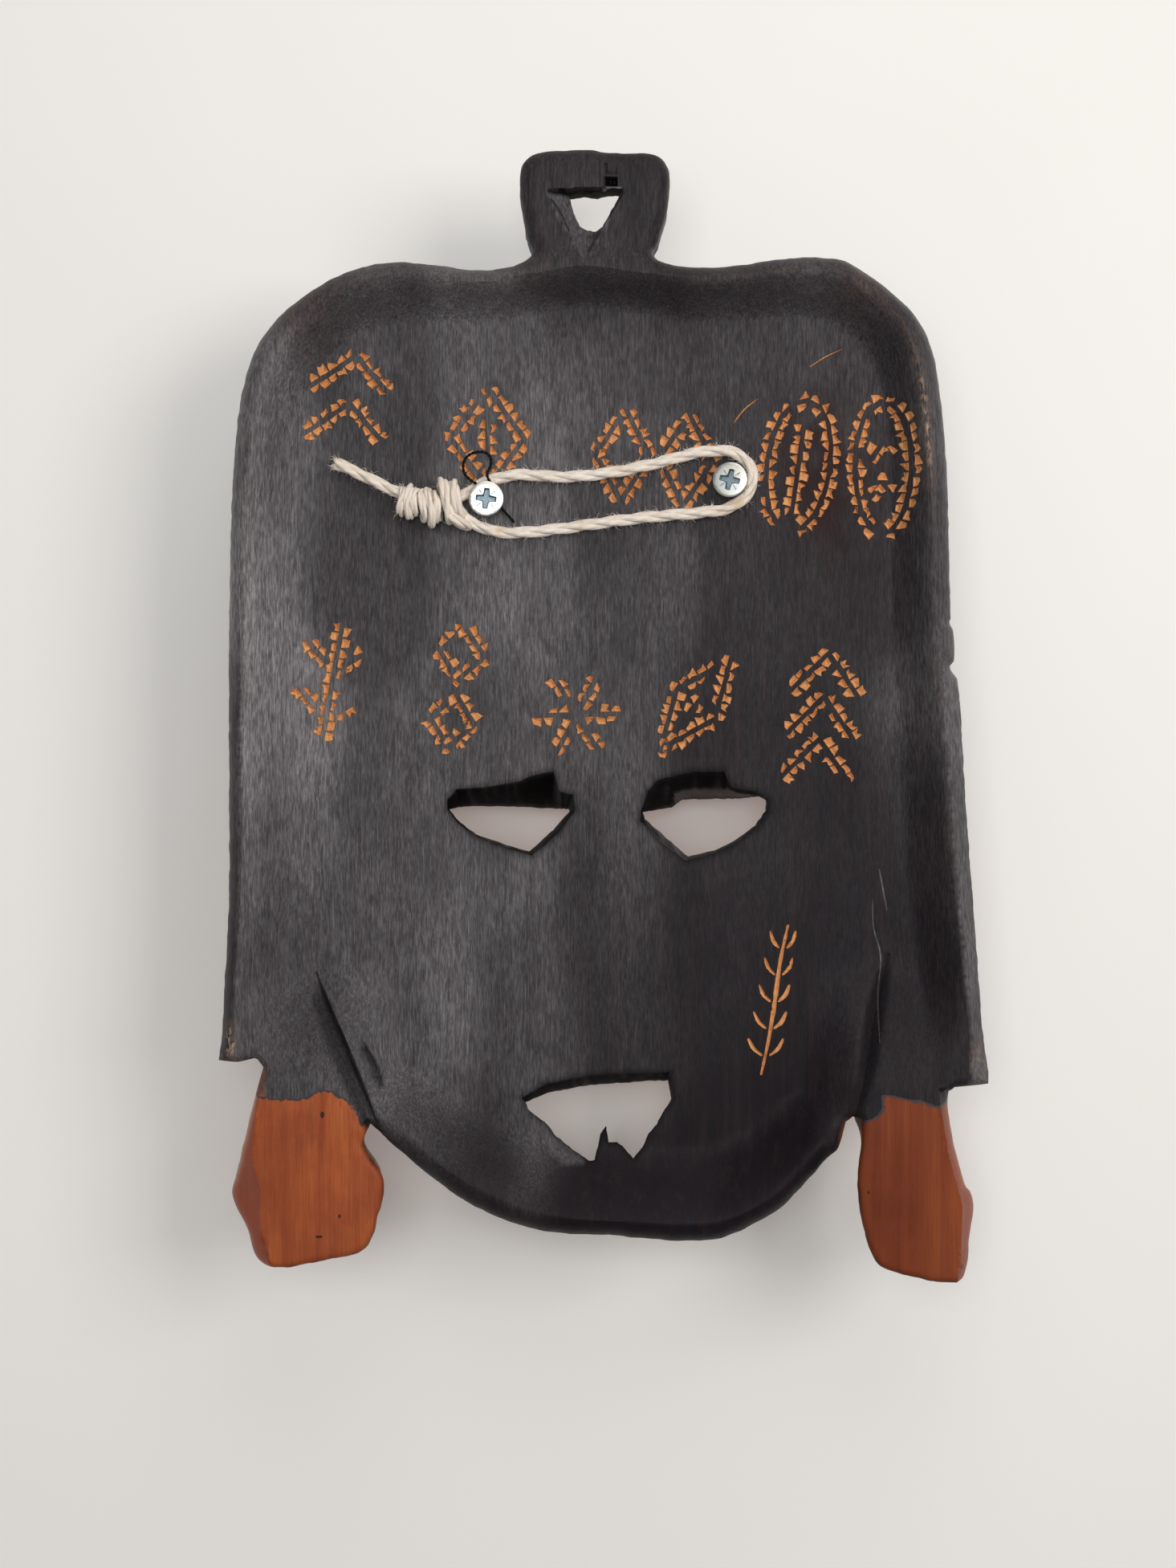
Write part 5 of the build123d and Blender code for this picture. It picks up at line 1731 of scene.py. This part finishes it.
def edge_values(points, shares, sinks):
    """Dust and painted sheen, rubbed-through edges with a painted highlight, bare wood, smear, pigment and
    painted shade in the low places and cut depth over the stained block.
    """
    across, up = points[:, 0], points[:, 1]
    flat = points[:, :2]
    crest, edge = gap_to(flat, CREST_RING, True), gap_to(flat, BODY_RING, True)
    back = shares < 0.02
    wall_part = (shares > 0.02) & (shares < 0.98)
    walls = wall_part & (edge > 3.0)
    in_recess = inside(flat, RECESS) & back

    dust_and_sheen = dust_and_sheen_share(across, up) * back
    # past the crest: a painted sheen on the roll on the right, less dust and sheen on the left
    beyond = ease(crest, 0.2, 0.9) * ~inside(flat, CREST_RING)
    beyond = beyond * ease(-up, 85.0, 105.0) * ease(up, -186.0, -183.0)
    dust_and_sheen = np.where(across > 60, np.maximum(dust_and_sheen, 0.62 * beyond * back), dust_and_sheen * (1.0 - 0.65 * beyond))
    dust_and_sheen = np.where(in_recess & (across < 3.0), 0.42, dust_and_sheen)
    smear = hill(across, up, 47.0, -57.0, 10.0, 15.0) * back
    smear = np.clip(smear * (1.0 + 0.8 * wander(across, up, 2.5, 4.5, 23)), 0.0, 1.0)

    # pigment in the gouges, and painted shade on the walls of the openings and in the slot of the handle
    shade = np.where(walls, 1.0, 0.0)
    for line, left, right, most in GOUGE_SHADES:
        gap, along, side = nearest(flat, line)
        fade = ease(along / (len(line) - 1), 0.0, 0.2)
        reach = np.where(side > 0, right, left) * (0.4 + 0.6 * fade)
        shade = np.maximum(shade, most * fade * ease(-gap, -1.15 * reach, -0.6 * reach) * back)
    shade = np.maximum(shade, np.where(up > -10.0, ease(sinks, 0.4, 1.2), 0.0))
    # the lip along the top of the handle's recess: painted shade under it on the left, a painted highlight
    # on it on the right
    under_lip = in_recess & (gap_to(flat, RECESS[[0, 1]]) < 0.9) & (across < 1.3)
    shade = np.where(under_lip, 0.95, shade)
    lit_lip = (shares < 0.75) & (across > 1.0) & (across < 4.6) & (up < 0.25) & (up > -1.4) & (edge > 3.0)
    shade = np.where(lit_lip, 0.0, shade)
    dust_and_sheen = np.where(lit_lip, 1.0, dust_and_sheen)
    # painted shade round the rims of the eyes and the mouth, and ribs of the chisel down their walls with
    # painted highlights
    for opening, _ in OPENINGS[:3]:
        shade = np.maximum(shade, 0.6 * bell(gap_to(flat, opening, True), 0.7) * back)
    ribs = np.clip(wander(across, up, 0.9, 5.0, 41), 0.0, 1.0) * walls * (up < -60.0)
    shade = np.where(ribs > 0, 1.0 - 0.45 * ribs, shade)
    dust_and_sheen = np.maximum(dust_and_sheen, 0.5 * ribs)
    # a lighter facet at the lower left of the mouth
    facet = gap_to(flat, np.array([(-12.0, -194.6), (-4.6, -200.6)])) < 1.9
    dust_and_sheen = np.where(facet & back & (up > -201.0), 0.42, dust_and_sheen)
    # a painted highlight on a ledge along the top of the right eye's wall
    ledge = wall_part & (shares > 0.55) & (across > 16.5) & (across < 33.5) & (up > -126.5) & (up < -121.0)
    shade = np.where(ledge, 0.0, shade)
    dust_and_sheen = np.where(ledge, 0.8, dust_and_sheen)
    for line in CRACKS:
        dust_and_sheen = np.where((gap_to(flat, line) < 0.06) & back, 0.8, dust_and_sheen)
    return {
        "dust_and_sheen": dust_and_sheen,
        "wear_and_highlight": wear_and_highlight_share(across, up, crest, back),
        "bare": bare_share(points, shares, edge),
        "smear": smear,
        "shade": shade,
        "keel": np.clip(sinks / 0.6, 0.0, 1.0),
    }


def recess_creases():
    """The edges between the walls of the handle's recess and the back, clear of the hole."""
    hole = OPENINGS[3][0]
    lines = [resample(RECESS[[a, b]], 0.8) for a, b, _ in RECESS_WALLS]
    lines = [line[~inside(line, hole) & (gap_to(line, hole, True) > 0.4)] for line in lines]
    return [line for line in lines if len(line) > 1]


def kept_runs(line, keep):
    """The stretches of a line whose points are kept."""
    runs, run = [], []
    for point, stays in zip(line, keep):
        if stays:
            run.append(point)
        elif run:
            runs.append(run)
            run = []
    return [np.array(r) for r in runs + [run] if len(r) > 2]


def crest_creases():
    """The crest, clear of the outline and of the two long cuts."""
    line = resample(CREST_RING, 1.0, True)
    clear = inside(line, BODY_RING) & (gap_to(line, BODY_RING, True) > 1.3)
    for cut in (LEFT_GOUGE, RIGHT_GROOVE):
        clear &= gap_to(line, cut) > 1.0
    return kept_runs(line, clear)


def beside(line, gap):
    """The line moved to its right, seen from behind, by a gap that fades at both ends."""
    _, aside = side_normals(line)
    share = np.linspace(0.0, 1.0, len(line))
    return (line + aside * (gap * np.sin(np.pi * share) ** 0.6)[:, None])[1:-1]


marks = BARE_CUTS + DARK_CUTS
creases = recess_creases() + crest_creases()
creases += [LEFT_GOUGE, RIGHT_GROOVE[:-1], LEFT_NICK, beside(LEFT_GOUGE, 1.1)]
body_points, body_tris, body_marks, body_shares, body_sinks = shell(
    BODY_RING, BODY_RING, OPENINGS, marks, creases, 0.98, 1.15
)
fresh = (body_marks >= 0) & (body_marks < len(BARE_CUTS))
body_values = edge_values(body_points, body_shares, body_sinks)
body = tri_object("stained_body", body_points, body_tris, [STAINED, CUT], fresh.astype(int), body_values)
ride_as(body, "stained_wood", "mask_body")


def pendant(name, node, ring, stain_line, bevel, tone):
    """A bare pendant, its front set in from its back except along the stain line."""
    inward = ring_normals(ring)
    probe = inside(ring + inward * 0.3, ring)
    inward[~probe] *= -1.0
    inset = inward * (2.6 * ease(gap_to(ring, stain_line), 1.0, 7.0))[:, None]
    front_ring = ring + np.column_stack([blurred(inset[:, axis], 1) for axis in range(2)])
    crease = resample(bevel[inside(bevel, ring)], 0.8)
    points, tris, _, shares, _ = shell(ring, front_ring, [], [], [crease], 0.85, 0.95)
    across, up = points[:, 0], points[:, 1]
    edge = gap_to(points[:, :2], WHOLE_RING, True)
    _, _, side = nearest(points[:, :2], bevel)
    outer = np.sign(across.mean())
    beyond = np.where(side * outer > 0, 1.0, 0.0) * (np.abs(across) > 66.0)
    pale = np.where(beyond > 0, bell(edge, 0.7) * ease(up, -207.0, -203.0), 0.0) * 0.6
    # darker along the outline and down the side walls, except past the bevel
    edge_darkening = 0.8 * bell(edge, 0.55) * (0.5 + 0.5 * wander(across, up, 2.0, 3.0, 31)) * (1.0 - beyond)
    edge_darkening = np.clip(edge_darkening + 0.3 * ((shares > 0.02) & (shares < 0.98)) * (1.0 - beyond), 0.0, 1.0)
    tones = tone + 0.2 * wander(across, up, 6.0, 20.0, 32) + 0.2 * (shares > 0.1)
    # the left bevel is redder, and its edge paler
    values = {
        "tone": np.clip(tones, 0.0, 1.0),
        "edge_darkening": edge_darkening,
        "bevel": (0.85 if outer < 0 else 0.35) * beyond,
        "pale": pale * (0.3 if outer > 0 else 1.0),
        "stain": np.clip(1.0 - gap_to(points[:, :2], stain_line) / 1.6, 0.0, 1.0),
    }
    return ride_as(tri_object(name, points, tris, [BARE], None, values), "bare_wood", node)


pendant("left_bare_pendant", "left_ear_pendant", LEFT_RING, RUNS["left_stain"], LEFT_BEVEL, 0.1)
pendant("right_bare_pendant", "right_ear_pendant", RIGHT_RING, RUNS["right_stain"], RIGHT_BEVEL, 0.85)
